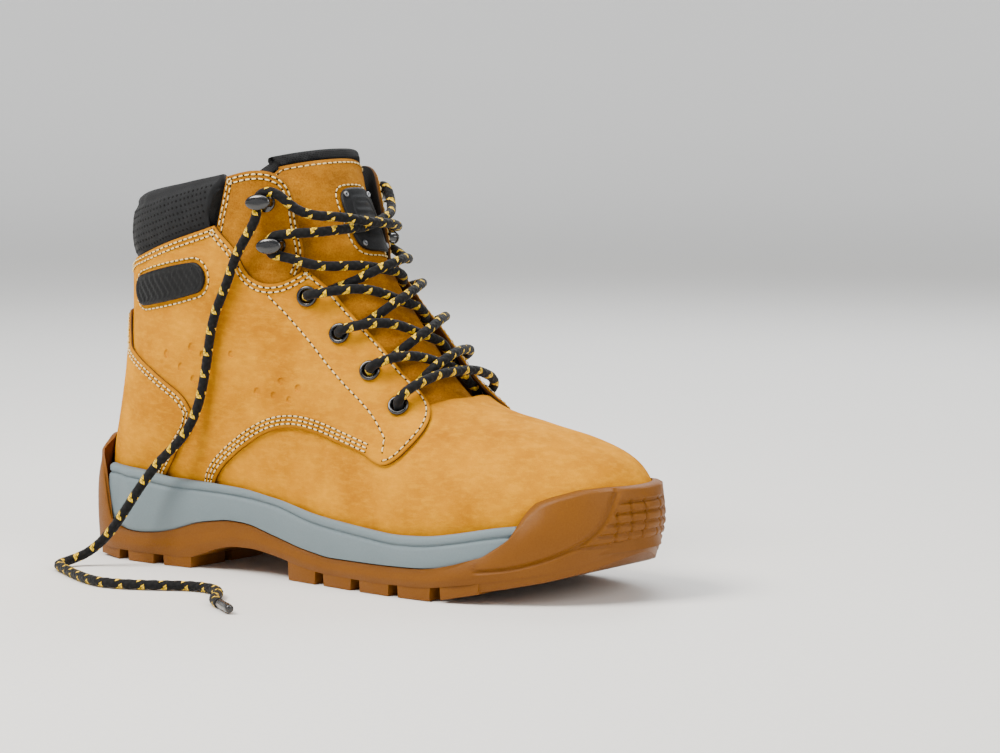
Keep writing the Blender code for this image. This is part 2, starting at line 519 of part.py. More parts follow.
def build_sole():
    x = np.asarray(SOLE_X, float)
    rim, low = level(RIM, x), level(MIDSOLE_LOW, x)
    top = np.maximum(level(RUBBER_TOP, x), low - 0.3)
    thick = np.interp(x, (-137, -131, 66, 72, 100), (2.4, 0.0, 0.0, 1.0, 2.6))
    heel, toe, gone = blend(x, -146, -154), blend(x, 107, 113), blend(x, 103, 110)
    cup = rim - 9.9 - 1.3 * gone - np.interp(x, (-100, -85), (2.4, 0))
    # Everything the foot and the upper take up, cut out of both sole pieces.
    clear = np.interp(x, (-95, -88, -64, -50), (2.6, 0.8, 0.8, -0.2))
    foot = [upper_loop(cup * (1 - t) + 62.0 * t, clear) for t in (0, 0.09, 0.18, 0.28, 0.39, 0.5, 0.6, 0.7, 0.85, 1)]
    space = foot_body("foot_space", foot, (NUBUCK, 0.0, 0.8))
    space.hide_render, space.display_type = True, "WIRE"
    # Midsole: rim, groove, side and lower edge.
    inset = np.interp(x, (-131, -122, 58, 70, 100), (2.8, 0.0, 0.0, 1.4, 3.0))
    lip = rim * (1 - gone) + (cup - 0.5) * gone
    step = 1 - 0.75 * gone
    loops, round_back = [], 1.3 * blend(x, -140, -150)
    for down, drawn, lean in ((0, 2.6, 5.0), (0.8, 1.5, 4.8), (3.4, 0.9, 4.2), (4.2, 2.1, 4.0), (5.0, 0.7, 3.8)):
        loops.append(plan_loop(lip - down * step, drawn + inset + 2.2 * gone + lean * round_back))
    loops.append(plan_loop(low * 0.6 + (lip - 5 * step) * 0.4, 0.1 + inset + 1.6 * heel + 1.2 * gone))
    loops.append(plan_loop(low, 0.4 + inset + 1.2 * gone))
    hollow(foot_body("midsole", loops, ((0.26, 0.35, 0.40), 0.0, 0.6)), space)
    # Outsole: floor, wall inside, wall top, three lines down the outside, and the lugs below.
    under = level(OUTSOLE_LOW, x)
    drop = top - under
    wall_in, wall_out = plan_loop(top, thick + 0.1), plan_loop(top - 0.4 * (thick > 0), 0.3 + 1.2 * (thick > 0.5))
    high = np.maximum(top, rim)
    cap_in, cap_out = upper_loop(high, clear - 1.0), upper_loop(high - 0.6, clear + 2.2)
    share = np.concatenate((heel + toe, (heel + toe)[1:-1][::-1]))[:, None]
    loops = [
        plan_loop(low - 0.3, np.maximum(thick + 0.1, 0.6)),
        wall_in * (1 - share) + cap_in * share,
        wall_out * (1 - share) + cap_out * share,
        plan_loop(under + 0.72 * drop, 0.5 + 0.9 * toe + 3.0 * heel),
        plan_loop(under + 0.38 * drop, 0.3 * heel),
        plan_loop(under, 0.8),
    ]
    sole = foot_body("outsole", loops, ((0.42, 0.19, 0.05), 0.0, 0.75))
    hollow(sole, space)
    points, faces = [], []
    for row, (spots, long) in enumerate(((HEEL_LUGS, 17.0), (FRONT_LUGS, 18.5))):
        for at in spots:
            ends = at + np.array([-0.5, 0.5]) * long
            edge = plan_at(ends) + (1.3, -1.3)
            for start, stop in ((0.0, 0.3), (0.36, 0.64), (0.7, 1.0)):
                base = len(points)
                for lift in (0, 1):
                    for k, share_y in ((0, start), (1, start), (1, stop), (0, stop)):
                        y = edge[k, 0] + (edge[k, 1] - edge[k, 0]) * share_y
                        taper = 1.0 - 0.08 * (1 - lift)
                        middle = at, edge[k].mean()
                        z = level(OUTSOLE_LOW, ends[k]) + 1.2 if lift else level(GROUND, ends[k])
                        points.append((at + (ends[k] - at) * taper, y, z))
                for f in ((3, 2, 1, 0), (4, 5, 6, 7), (0, 1, 5, 4), (1, 2, 6, 5), (2, 3, 7, 6), (3, 0, 4, 7)):
                    faces.append(tuple(base + k for k in f))
    lugs = body("lug_blocks", points, faces, ((0.42, 0.19, 0.05), 0.0, 0.75), 20)
    lugs.hide_render, lugs.display_type = True, "WIRE"
    union = sole.modifiers.new("lugs", "BOOLEAN")
    union.operation, union.solver, union.object = "UNION", "EXACT", lugs
    # The boards inside the foot: penetration plate, insole board and removable footbed.
    drawn = -np.interp(x, (62, 76), (5.7, 7.7))
    loose = -np.interp(x, (-130, -100, 62, 76), (7.9, 7.2, 7.0, 8.6))
    for name, bottom, height, drawn_in, look in (
        ("midsole_plate", -8.4, 0.8, drawn, STEEL_LOOK),
        ("insole_board", -7.3, 2.0, drawn, ((0.45, 0.36, 0.25), 0.0, 0.9)),
        ("footbed", -4.9, 4.8, loose, CLOTH_LOOK),
    ):
        foot_body(name, [upper_loop(rim + bottom, drawn_in), upper_loop(rim + bottom + height, drawn_in)], look)


def build_layers():
    half = [(0.0, 7.15)] + side_path(VAMP_TOP) + side_path(VAMP_FOOT) + [(chart(140.3, 38.5)[0], 0.3)]
    sheet("vamp", both_sides(half), UNDER, LEATHER_LOOK)
    for side, word in ((-1.0, "outer"), (1.0, "inner")):
        outline = side_path(EYESTAY + QUARTER_CURVE + QUARTER_FOOT + QUARTER_TOP, side)
        outline = [(math.copysign(min(abs(s), 0.9975), s), u) for s, u in outline]
        holes = [round_hole(*chart(x, z, side), EYELET_BARREL + 0.6) for x, z in EYELETS]
        sheet("quarter_" + word, outline, QUARTER, LEATHER_LOOK, holes)
        sheet("hook_panel_" + word, side_path(HOOK_PANEL, side), UNDER, SUEDE_LOOK)
    half = [(s, u) for s, u in side_path(COUNTER_EDGE + COUNTER_FOOT) if s > -0.999]
    sheet("heel_cover", around_heel(half), COUNTER, LEATHER_LOOK)
    half = side_path(((-128, 88), (-112, 84), (-98, 76), (-90, 66), (-88, 50), (-90, 34), (-110, 34), (-130, 35), (-147, 38)))
    sheet("heel_stiffener", around_heel(half), STIFFENER, FOAM_LOOK)


def tongue_rise(s, u):
    """Distance of the tongue's leather: sunk under the lace holes, crowned between them, leaning back on top."""
    crown = np.cos(np.clip(np.abs(s) / 0.19, 0, 1) * math.pi / 2) ** 2
    lean = np.clip((u - 12.0) / 2.2, 0, 1.2) ** 2 * (7.0 - 30.0 * np.clip(s, -0.2, 0.2))
    return -8.1 + 4.2 * crown - lean


def tongue_layer(distance):
    return lambda s, u: tongue_rise(s, u) + distance


def tongue_roll(s, u):
    return tongue_rise(s, u) - 6.3 + 6.0 * np.clip((u - 14.2) / 0.4, 0, 1)


TONGUE = ((6.75, 0.17), (7.2, 0.29), (8.0, 0.33), (9.0, 0.33), (10.0, 0.33), (11.0, 0.31), (12.0, 0.3),
          (13.0, 0.29), (13.6, 0.27))


def tongue_outline(top, rounding, inset=0.0):
    side = [(-(s - inset), u) for u, s in TONGUE] + [(-r, top - d) for r, d in rounding]
    return side + mirrored(side)[::-1]


def build_tongue():
    leather = tongue_outline(14.3, ((0.24, 0.3), (0.19, 0.08), (0.1, 0.0)))
    sheet("tongue_leather", leather, [tongue_layer(d) for d in TONGUE_LEATHER], SUEDE_LOOK)
    foam = tongue_outline(13.8, ((0.23, 0.2), (0.18, 0.0)), 0.015)
    sheet("tongue_foam", foam, [tongue_layer(d) for d in TONGUE_FOAM], FOAM_LOOK)
    cloth = tongue_outline(14.75, ((0.26, 0.62), (0.23, 0.3), (0.18, 0.06), (0.1, 0.0)))
    sheet("tongue_lining", cloth, [tongue_roll, tongue_layer(-7.5)], CLOTH_LOOK)
    turns = [k * math.pi / 2 + d for k in range(4) for d in (0.25, 0.8, 1.3)]
    plate = [(0.045 + 0.07 * (abs(math.cos(t)) ** 0.5) * np.sign(math.cos(t)),
              12.25 + 0.95 * (abs(math.sin(t)) ** 0.5) * np.sign(math.sin(t))) for t in turns]
    sheet("tongue_badge", plate, [tongue_layer(1.9), tongue_layer(0.6)], ENAMEL_LOOK)


def build_linings():
    top = [(0.0, 6.5)] + side_path(((54, 76), (45, 68), (36, 62), (20, 60), (0, 61), (-19, 62), (-19.5, 48), (-19.5, 26)))
    half = top + side_path(VAMP_FOOT[3:]) + [(chart(140.3, 38.5)[0], 0.3)]
    under_cap = lambda d: lambda s, u: d - 1.9 * blend(locate(s, u)[0][..., 0], 72, 83)
    sheet("vamp_lining", both_sides(half), [under_cap(d) for d in LINING], CLOTH_LOOK)
    down = ((0, 5.12), (92, 62), (92, 45), (92, 30), (92, 25.5))
    half = [down[0]] + side_path(down[1:]) + side_path(VAMP_FOOT[8:]) + [(chart(140.3, 38.5)[0], 0.3)]
    sheet("toe_cap", both_sides(half), CAP, STEEL_LOOK)
    front = side_path(((91.2, 62), (91.2, 45), (91.2, 30)))
    back = side_path(((84, 29), (84, 45), (84, 62)))
    half = [*back, (0, 5.5), *mirrored(back)[::-1], *mirrored(front)[::-1], (0, 5.16), *front]
    sheet("toe_cap_edging", half, (-3.8, -4.6), ((0.03, 0.03, 0.03), 0.0, 0.9))
    foot = side_path(((-147, 38), (-136, 35), (-122, 34), (-104, 33.5), (-84, 33), (-60, 32.5), (-40, 31), (-20.6, 26.5)))
    front = side_path(((-20.6, 48), (-21, 63), (-27, 78), (-36, 92), (-45, 106), (-52, 120), (-57, 134), (-60, 145)))
    back = side_path(((-80, 143), (-100, 137), (-120, 130), (-131, 127)))
    half = foot + front + back
    sheet("shaft_lining", around_heel(half), LINING, CLOTH_LOOK)
    half = side_path(((-131, 99), (-110, 98), (-80, 98), (-56, 101), (-55, 112), (-58, 126), (-63, 138), (-67, 145),
                      (-80, 143), (-100, 137), (-120, 130), (-131, 127)))
    sheet("shaft_padding", around_heel(half), STIFFENER, FOAM_LOOK)


def build_collar():
    top_line = side_path(QUARTER_TOP[:6])
    line_s, line_z = np.array([abs(s) for s, _ in top_line]), np.array([z for _, z in QUARTER_TOP[:6]])
    order = np.argsort(line_s)
    low_end, high_end = abs(chart(-68.5, 155.0)[0]), abs(chart(-61.6, 181.0)[0])
    outside = ((0.0, -8.0, -2.6), (0.0, -1.0, -2.4), (0.0, 3.0, -1.0), (0.35, 0.0, 1.2), (0.7, 0.0, 1.0),
               (1.0, -3.0, -1.2), (1.0, 0.0, -5.0), (1.0, -2.5, -9.3), (1.0, -9.0, -11.8), (1.0, -22.0, -12.0),
               (1.0, -36.0, -10.2))
    inside_line = ((1.0, -36.0, -9.0), (1.0, -22.0, -10.8), (1.0, -9.0, -10.6), (1.0, -4.0, -8.2),
                   (1.0, -1.3, -5.2), (1.0, -4.0, -2.6), (0.7, 0.0, -0.3), (0.35, 0.0, -0.1), (0.0, 4.0, -2.2),
                   (0.0, -1.0, -3.6), (0.0, -8.0, -3.8))
    filling = ((0.0, -5.5, -4.2), (0.0, -1.0, -4.0), (0.0, 4.0, -2.7), (0.35, 0.0, -0.6), (0.7, 0.0, -0.8),
               (1.0, -4.6, -3.0), (1.0, -1.9, -5.3), (1.0, -4.4, -7.8), (1.0, -9.0, -10.1), (1.0, -22.0, -10.3),
               (1.0, -30.0, -9.4), (1.0, -32.0, -6.0))
    for name, shape, look in (("collar_cover", outside + inside_line, CLOTH_LOOK), ("collar_foam", filling, FOAM_LOOK)):
        loops = []
        start = 0.0 if name == "collar_cover" else 0.006
        for c in np.linspace(start, 1 - start, 23):
            loop = []
            for share, lift, out in shape:
                end = low_end + (high_end - low_end) * share
                s = -end - (2 - 2 * end) * c
                quarter = np.interp(min(abs(s), abs(-2 - s)), line_s[order], line_z[order])
                peak = 171.0 + 12.5 * abs(2 * c - 1) ** 1.5
                loop.append(at_height(s, quarter + (peak - quarter) * share + lift, out))
            loops.append(loop)
        rings(name, loops, look)


def build_hardware():
    h = 0.6
    ring = ((EYELET_HOLE, h + 0.3), (EYELET_HOLE + 0.5, h + 0.9), (EYELET_FLANGE - 0.4, h + 0.9),
            (EYELET_FLANGE, h), (EYELET_BARREL, h), (EYELET_BARREL, -2.2), (EYELET_HOLE, -2.2))
    for side, word in ((-1.0, "outer"), (1.0, "inner")):
        for k, (x, z) in enumerate(EYELETS):
            s, u = chart(x, z, side)
            point, normal, _, up = frame_at(s, u)
            turned(f"eyelet_{word}_{k + 1}", point, normal, ring, ENAMEL_LOOK, 12)
        for k, (x, z) in enumerate(HOOKS):
            s, u = chart(x, z, side)
            point, normal, across, up = frame_at(s, u, UNDER[0] + 0.75)
            rear = across * (1 if across.dot((-1, 0, 0)) > 0 else -1)
            stack = ((0, 0, 4.5, 4.5), (0.9, 0, 4.5, 4.5), (1.0, -2, 2.1, 2.1), (6.1, -2, 2.1, 2.1),
                     (6.2, 1.5, 6.0, 3.6), (7.2, 1.5, 5.9, 3.5), (8.2, 1.5, 3.8, 2.1))
            loops = []
            for rise, shift, long, wide in stack:
                turns = [2 * math.pi * n / 12 for n in range(12)]
                loops.append([point + normal * rise + rear * (shift + long * math.cos(t)) + up * wide * math.sin(t)
                              for t in turns])
            rings(f"lace_hook_{word}_{k + 1}", loops, ENAMEL_LOOK, smooth=40)


def unit(v):
    return v / np.linalg.norm(v)


def smooth_path(points, most):
    """Points along the spline through a route, at most this far apart, with two or more to each span."""
    points = np.asarray(points, float)
    spans = np.linalg.norm(np.diff(points, axis=0), axis=1)
    knots = np.concatenate(([0], np.cumsum(spans)))
    at = [np.linspace(a, b, max(math.ceil((b - a) / most), 1), endpoint=False) for a, b in zip(knots, knots[1:])]
    return spline(knots, points, np.concatenate((*at, knots[-1:])))


def tube(name, path, radius, look, sides=8):
    """A closed tube along a path, its rings carried along without twist."""
    path = np.asarray(path)
    runs = np.gradient(path, axis=0)
    start, loops = np.cross(runs[0], (0.31, 0.2, 0.93)), []
    for point, run in zip(path, runs):
        start = unit(start - run * start.dot(run) / run.dot(run))
        other = np.cross(unit(run), start)
        turns = [2 * math.pi * k / sides for k in range(sides)]
        loops.append([point + radius * (start * math.cos(t) + other * math.sin(t)) for t in turns])
    return rings(name, loops, look)


LACE_INSIDE = -4.7  # the lace's distance from the base surface where it runs under the quarters


def through(x, z, side, outside, within):
    """Lace points down one eyelet, coming over from the point outside and leaving for the one within."""
    point, normal = locate(*chart(x, z, side))
    lead, leave = (unit(p - point - normal * normal.dot(p - point)) for p in (outside, within))
    down = [point + normal * h + lead * d for d, h in ((6.2, 4.4), (3.0, 4.3), (0.9, 2.9), (0.1, 0.8))]
    return down + [point + normal * h + leave * d for d, h in ((0.0, -1.3), (0.5, -3.2), (2.7, -4.8), (5.5, -4.75))]


def crossing(start, end, stops):
    """Points between two spots in (s, u), at these shares of the way and distances, clear of the tongue."""
    route = []
    for share, distance in stops:
        s, u = np.array(start) * (1 - share) + np.array(end) * share
        tongue = np.interp(abs(s), COLUMNS, tongue_rise(COLUMNS, u))
        route.append(locate(s, u, max(distance, tongue + LACE_RADIUS + 0.7))[0])
    return route


def hook_wrap(index, side, turns):
    """Lace points round one hook's stem; 0 degrees is its rear and 90 its top."""
    point, normal, across, up = frame_at(*chart(*HOOKS[index], side), UNDER[0] + 0.75)
    rear = across * (1 if across.dot((-1, 0, 0)) > 0 else -1)
    stem = point + normal * 3.5 - rear * 2
    return [stem + 4.75 * (rear * math.cos(math.radians(t)) + up * math.sin(math.radians(t))) for t in turns]


def lace_half(side):
    """From inside the lowest eyelet of one side, zigzag up to the upper hook: a strand passes over or under the other."""
    over = 0 if side < 0 else 1
    route, spots = [], [[chart(x, z, w) for x, z in EYELETS + HOOKS] for w in (-1.0, 1.0)]
    spans = []
    here = 0 if side < 0 else 1
    for k in range(3):
        there = 1 - here
        middle = 3.75 if here == 0 else -1.2
        rise = 1.2 if here == 0 else -2.3
        fall = 4.0 if here == 0 else 0.9
        spans.append(crossing(spots[here][k], spots[there][k + 1],
                              ((0.19, LACE_INSIDE), (0.27, -3.45 if here else -3.0), (0.38, rise), (0.5, middle),
                               (0.64, fall), (0.79, 3.3))))
        here = there
    there = 1 - here
    lift = 4.9 if here == 0 else 0.0
    s, u = spots[there][4]
    spans.append(crossing(spots[here][3], (s, u - 0.3),
                          ((0.12, LACE_INSIDE), (0.24, -2.6), (0.36, -0.2 + lift * 0.6), (0.46, 0.7 + lift),
                           (0.6, 0.6 + lift * 0.8), (0.8, 1.6 + lift * 0.2))))
    start, end = spots[there][4], spots[here][5]
    upper = crossing((start[0], start[1] + 0.3), (end[0], end[1] + 0.25),
                     ((0.18, 1.8 + lift * 0.1), (0.34, 1.0 + lift * 0.7), (0.5, 0.6 + lift), (0.66, 1.0 + lift * 0.7),
                      (0.84, 1.8 + lift * 0.1)))
    side_of = [side * (-1) ** k for k in range(6)]
    for k in range(4):
        w = side_of[k]
        outside = spans[k - 1][-1] if k else locate(0.0, spots[0][0][1])[0]
        route += through(*EYELETS[k], w, outside, spans[k][0]) + list(spans[k])
    route += hook_wrap(0, side_of[4], (-95, -50, 0, 50, 95)) + list(upper)
    route += hook_wrap(1, side_of[5], (95, 60, 25, -5))
    return route


def build_lace():
    outer, inner = lace_half(-1.0), lace_half(1.0)
    low = chart(*EYELETS[0])
    bar = crossing(low, (-low[0], low[1]), ((0.19, 3.9), (0.35, 3.5), (0.5, 3.2), (0.65, 3.5), (0.81, 3.9)))
    route = outer[::-1] + bar + inner
    tube("lace", smooth_path(route, 7.5), LACE_RADIUS, LACE_LOOK, 7)


def build_lace_ends():
    for word, route in (("outer", LACE_END_OUTER), ("inner", LACE_END_INNER)):
        path = smooth_path(route, 9.0)
        curve = bpy.data.curves.new("lace_end_" + word, "CURVE")
        curve.dimensions, curve.use_fill_caps = "3D", True
        curve.bevel_depth, curve.bevel_resolution = LACE_RADIUS * MM, 2
        line = curve.splines.new("POLY")
        line.points.add(len(path) - 1)
        for point, at in zip(line.points, path):
            point.co = (*((at + CENTRE) * MM), 1)
        curve.materials.append(material("lace_end_" + word, *LACE_LOOK))
        bpy.context.scene.collection.objects.link(bpy.data.objects.new("lace_end_" + word, curve))
        run = unit(path[-1] - path[-2])
        profile = ((0.0, 0.8), (0.6, 1.0), (0.93, 1.0), (1.0, 0.7))
        loops = []
        for share, size in profile:
            start = np.cross(run, (0.0, 0.0, 1.0))
            turns = [2 * math.pi * k / 10 for k in range(10)]
            middle = path[-1] + run * (0.3 + AGLET_LONG * share)
            loops.append([middle + AGLET_RADIUS * size * (start * math.cos(t) + np.cross(run, start) * math.sin(t))
                          for t in turns])
        rings("aglet_" + word, loops, ENAMEL_LOOK, smooth=40)


def build_badge():
    (x0, z0), (x1, z1) = BADGE_LINE
    along = unit(np.array([x1 - x0, z1 - z0]))
    up = np.array([-along[1], along[0]])
    outline = []
    for (x, z), turns in (((x1, z1), range(-90, 91, 30)), ((x0, z0), range(90, 271, 30))):
        for t in turns:
            away = along * math.cos(math.radians(t)) + up * math.sin(math.radians(t))
            outline.append(np.array([x, z]) + BADGE_RADIUS * away)
    sheet("side_badge", side_path(outline), (1.6, 0.4), CLOTH_LOOK)


def turn_about(names, pivot):
    """Puts the origin of each named piece on its hinge line."""
    pivot = (np.array(pivot) + CENTRE) * MM
    for name in names:
        piece = bpy.data.objects[name]
        for vertex in piece.data.vertices:
            vertex.co = np.array(vertex.co) - pivot
        piece.location = pivot


build_sole()
build_layers()
build_badge()
build_tongue()
build_linings()
build_collar()
build_hardware()
build_lace()
build_lace_ends()
turn_about(("tongue_leather", "tongue_foam", "tongue_lining", "tongue_badge"), TONGUE_HINGE)
turn_about(("footbed",), FOOTBED_HINGE)
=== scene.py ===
"""Steel toe work boot: the visual model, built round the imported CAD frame.

The upper is drawn on the same base surface as the CAD. A place on it is (s, u): s runs round a
section from the front ridge (0) to the back (1 or -1, outer side negative), and u counts the
sections from toe tip to collar. The tables are in millimetres and the scene is in metres.
"""
import json
import math

import bmesh
import bpy
import numpy as np
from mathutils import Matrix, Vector
from mathutils import noise as field
from mathutils.geometry import delaunay_2d_cdt

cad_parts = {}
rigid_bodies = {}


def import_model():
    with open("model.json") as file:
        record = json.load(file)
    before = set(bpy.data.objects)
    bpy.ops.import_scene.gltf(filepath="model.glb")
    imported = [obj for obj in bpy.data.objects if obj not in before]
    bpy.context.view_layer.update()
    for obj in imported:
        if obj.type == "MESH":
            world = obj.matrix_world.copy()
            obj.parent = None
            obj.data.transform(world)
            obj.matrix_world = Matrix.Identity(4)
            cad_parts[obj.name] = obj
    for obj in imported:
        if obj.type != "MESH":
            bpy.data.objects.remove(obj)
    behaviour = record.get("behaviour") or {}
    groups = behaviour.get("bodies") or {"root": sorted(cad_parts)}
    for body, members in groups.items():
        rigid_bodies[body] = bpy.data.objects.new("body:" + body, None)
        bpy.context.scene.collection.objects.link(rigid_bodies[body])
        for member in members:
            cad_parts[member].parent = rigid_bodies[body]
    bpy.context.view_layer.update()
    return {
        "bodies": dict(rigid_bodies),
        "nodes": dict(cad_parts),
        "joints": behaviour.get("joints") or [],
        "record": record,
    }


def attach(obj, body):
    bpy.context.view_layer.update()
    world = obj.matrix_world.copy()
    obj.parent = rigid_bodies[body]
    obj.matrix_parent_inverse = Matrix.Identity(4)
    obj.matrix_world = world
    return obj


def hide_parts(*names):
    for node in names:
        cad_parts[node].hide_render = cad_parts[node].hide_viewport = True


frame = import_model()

MM = 0.001
CENTRE = np.array([7.5, 1.0, 0.0])
S_LENGTH, U_LENGTH = 150.0, 16.0  # about how many mm one unit of s and of u is long

# ---- camera -------------------------------------------------------------------------------
AZIMUTH, ELEVATION, DISTANCE, TARGET = 36.0, 5.5, 1.5, (0.0728, 0.001, 0.0944)
LENS = 120.85


def add_camera():
    data = bpy.data.cameras.new("camera")
    data.lens, data.sensor_width = LENS, 36.0
    camera = bpy.data.objects.new("camera", data)
    bpy.context.scene.collection.objects.link(camera)
    a, e = math.radians(AZIMUTH), math.radians(ELEVATION)
    back = Vector((math.sin(a) * math.cos(e), -math.cos(a) * math.cos(e), math.sin(e)))
    camera.location = Vector(TARGET) + back * DISTANCE
    camera.rotation_euler = (-back).to_track_quat("-Z", "Y").to_euler()
    bpy.context.scene.camera = camera


add_camera()

# ---- the base surface ---------------------------------------------------------------------
STATIONS = (
    ((141.5, 41.0), (141.5, 41.0), 0.5, 6.5, 0.0, 2.2, 2.2),
    ((139.5, 50.0), (139.0, 28.5), 12.5, 6.5, -0.2, 2.3, 3.0),
    ((134.5, 57.0), (134.0, 20.5), 21.5, 6.0, -0.25, 2.4, 3.5),
    ((127.0, 63.0), (125.0, 15.5), 30.0, 5.5, -0.3, 2.5, 4.0),
    ((114.0, 68.5), (111.0, 12.5), 38.5, 5.0, -0.35, 2.5, 4.5),
    ((94.0, 74.0), (89.0, 11.0), 46.0, 3.0, -0.4, 2.4, 5.0),
    ((71.0, 79.0), (60.0, 11.0), 50.0, 0.5, -0.4, 2.3, 5.0),
    ((52.0, 85.0), (27.0, 13.5), 48.5, -1.0, -0.4, 2.4, 5.0),
    ((36.0, 97.0), (-8.0, 17.0), 44.5, -1.0, -0.35, 2.7, 4.5),
    ((21.0, 114.0), (-50.0, 20.0), 42.0, -0.5, -0.25, 3.0, 4.0),
    ((7.0, 130.0), (-98.0, 21.0), 41.5, 0.0, -0.1, 3.1, 3.0),
    ((-4.0, 145.0), (-147.0, 25.0), 42.5, 0.0, 0.05, 3.2, 2.4),
    ((-12.0, 160.0), (-149.9, 56.0), 43.5, 0.0, 0.15, 3.3, 2.3),
    ((-18.0, 175.0), (-141.7, 98.0), 44.0, 0.0, 0.2, 3.4, 2.35),
    ((-22.0, 189.0), (-138.4, 134.0), 44.0, 0.0, 0.2, 3.5, 2.5),
    ((-25.5, 201.0), (-134.7, 166.0), 44.0, 0.0, 0.2, 3.5, 2.5),
    ((-28.0, 212.0), (-134.4, 196.0), 44.0, 0.0, 0.2, 3.5, 2.5),
)
QUARTER, UNDER, COUNTER, LINING = (0.0, -1.6), (-1.9, -3.5), (1.8, 0.3), (-3.8, -4.8)
EYESTAY = (
    (-18.4, 141.4), (-8.9, 133.1), (0.5, 124.0), (10.4, 115.3), (20.3, 106.3), (28.8, 97.8),
    (37.7, 90.1), (45.4, 83.4), (49.0, 78.5), (49.9, 73.5), (46.4, 66.0), (38.5, 58.2), (34.5, 56.8),
)
QUARTER_CURVE = (
    (23.4, 60.1), (5.8, 64.8), (-11.2, 68.7), (-24.6, 69.2), (-36.9, 66.0), (-50.1, 58.6),
    (-63.3, 48.6), (-69.9, 40.2), (-71.0, 32.6),
)
QUARTER_FOOT = ((-86.0, 32.4), (-104.0, 32.8), (-122.0, 33.6), (-136.0, 34.6), (-150.0, 35.5))
QUARTER_TOP = (
    (-150.0, 139.0), (-123.5, 142.6), (-108.4, 146.8), (-92.2, 151.9), (-78.5, 155.8), (-64.7, 159.8),
    (-59.1, 154.4), (-53.3, 149.2), (-46.5, 139.0), (-37.7, 134.2), (-27.8, 135.5),
)
VAMP_TOP = (
    (45.0, 84.5), (38.0, 79.0), (30.0, 73.5), (22.0, 71.5), (6.0, 75.0), (-11.0, 79.0), (-27.0, 79.0),
    (-43.0, 75.0), (-58.0, 66.0), (-72.0, 53.0), (-80.0, 42.0), (-82.0, 32.8),
)
VAMP_FOOT = (
    (-60.0, 32.2), (-40.0, 30.5), (-22.0, 26.0), (-5.0, 23.2), (20.0, 21.2), (45.0, 19.8), (65.0, 20.3),
    (82.0, 23.0), (98.0, 25.6), (112.0, 27.0), (122.0, 28.0), (131.0, 30.0), (137.0, 33.5),
)
COUNTER_EDGE = (
    (-137.5, 117.5), (-133.0, 117.0), (-130.0, 110.0), (-126.0, 100.5), (-111.7, 94.1), (-92.0, 84.4),
    (-84.0, 79.0), (-79.8, 73.3), (-81.8, 66.0), (-87.8, 57.8), (-94.8, 48.6), (-102.0, 39.6), (-104.0, 33.2),
)
COUNTER_FOOT = ((-122.0, 34.0), (-136.0, 35.0), (-150.0, 36.0))
HOOK_PANEL = (
    (-58.8, 182.2), (-43.3, 185.3), (-33.0, 184.0), (-28.9, 181.0), (-25.5, 174.0), (-22.5, 160.0),
    (-20.0, 146.0), (-22.5, 137.0), (-30.0, 128.0), (-39.0, 125.5), (-50.0, 130.0), (-57.0, 141.0),
    (-66.5, 150.0), (-65.0, 158.0), (-63.0, 166.0), (-60.8, 174.0),
)
EYELETS = ((34.7, 82.3), (17.9, 96.9), (0.3, 112.7), (-17.0, 128.8))
HOOKS = ((-31.5, 151.5), (-36.5, 171.0))
EMBOSSED = ((-41.7, 84.9), (-32.1, 83.4), (-22.9, 81.9), (-18.2, 87.6), (-27.9, 90.1), (-95.9, 99.2),
            (-79.7, 103.3), (-72.8, 100.1), (-86.7, 93.6), (-78.8, 88.4), (-56.5, 100.9))


def spline(knots, values, at):
    """Natural cubic spline through the rows of values."""
    knots, values, at = (np.asarray(v, float) for v in (knots, values, at))
    flat = values.reshape(len(knots), -1)
    count, step = len(knots), np.diff(knots)
    system, right = np.eye(count), np.zeros_like(flat)
    for i in range(1, count - 1):
        system[i, i - 1 : i + 2] = step[i - 1], 2 * (step[i - 1] + step[i]), step[i]
        right[i] = 6 * ((flat[i + 1] - flat[i]) / step[i] - (flat[i] - flat[i - 1]) / step[i - 1])
    bend = np.linalg.solve(system, right)
    k = np.clip(np.searchsorted(knots, at, side="right") - 1, 0, count - 2)
    before, after, width = (at - knots[k])[:, None], (knots[k + 1] - at)[:, None], step[k][:, None]
    out = (bend[k] * after**3 + bend[k + 1] * before**3) / (6 * width)
    out += (flat[k] / width - bend[k] * width / 6) * after
    out += (flat[k + 1] / width - bend[k + 1] * width / 6) * before
    return out.reshape((len(at),) + values.shape[1:])


def unit(v):
    v = np.asarray(v, float)
    return v / np.maximum(np.linalg.norm(v, axis=-1, keepdims=True), 1e-12)


def level(table, x):
    table = np.asarray(table, float)
    return np.interp(x, table[:, 0], table[:, 1])


def blend(x, start, end):
    t = np.clip((np.asarray(x, float) - start) / (end - start), 0, 1)
    return t * t * (3 - 2 * t)


SHAPE = np.array([[*f, *g, *rest] for f, g, *rest in STATIONS], float)
FINE = np.linspace(0, len(SHAPE) - 1, 481)
FINE_SHAPE = spline(np.arange(len(SHAPE)), SHAPE, FINE)


def section(row, count=361):
    """Half of one section, from its front ridge to its back: p from 1 to -1, half width, arc share."""
    fx, fz, gx, gz, width, _, widest, front, back = row
    turn = np.linspace(0, math.pi, count)
    cos, sin = np.cos(turn), np.sin(turn)
    power = 2 / np.where(cos >= 0, front, back)
    q = np.sign(cos) * np.abs(cos) ** power
    p = np.where(q >= 0, widest + (1 - widest) * q, widest + (1 + widest) * q)
    y = max(width, 0.3) * np.abs(sin) ** power
    reach = math.hypot(fx - gx, fz - gz) / 2
    arc = np.concatenate(([0], np.cumsum(np.hypot(np.diff(p) * reach, np.diff(y)))))
    return p, y, arc / arc[-1]


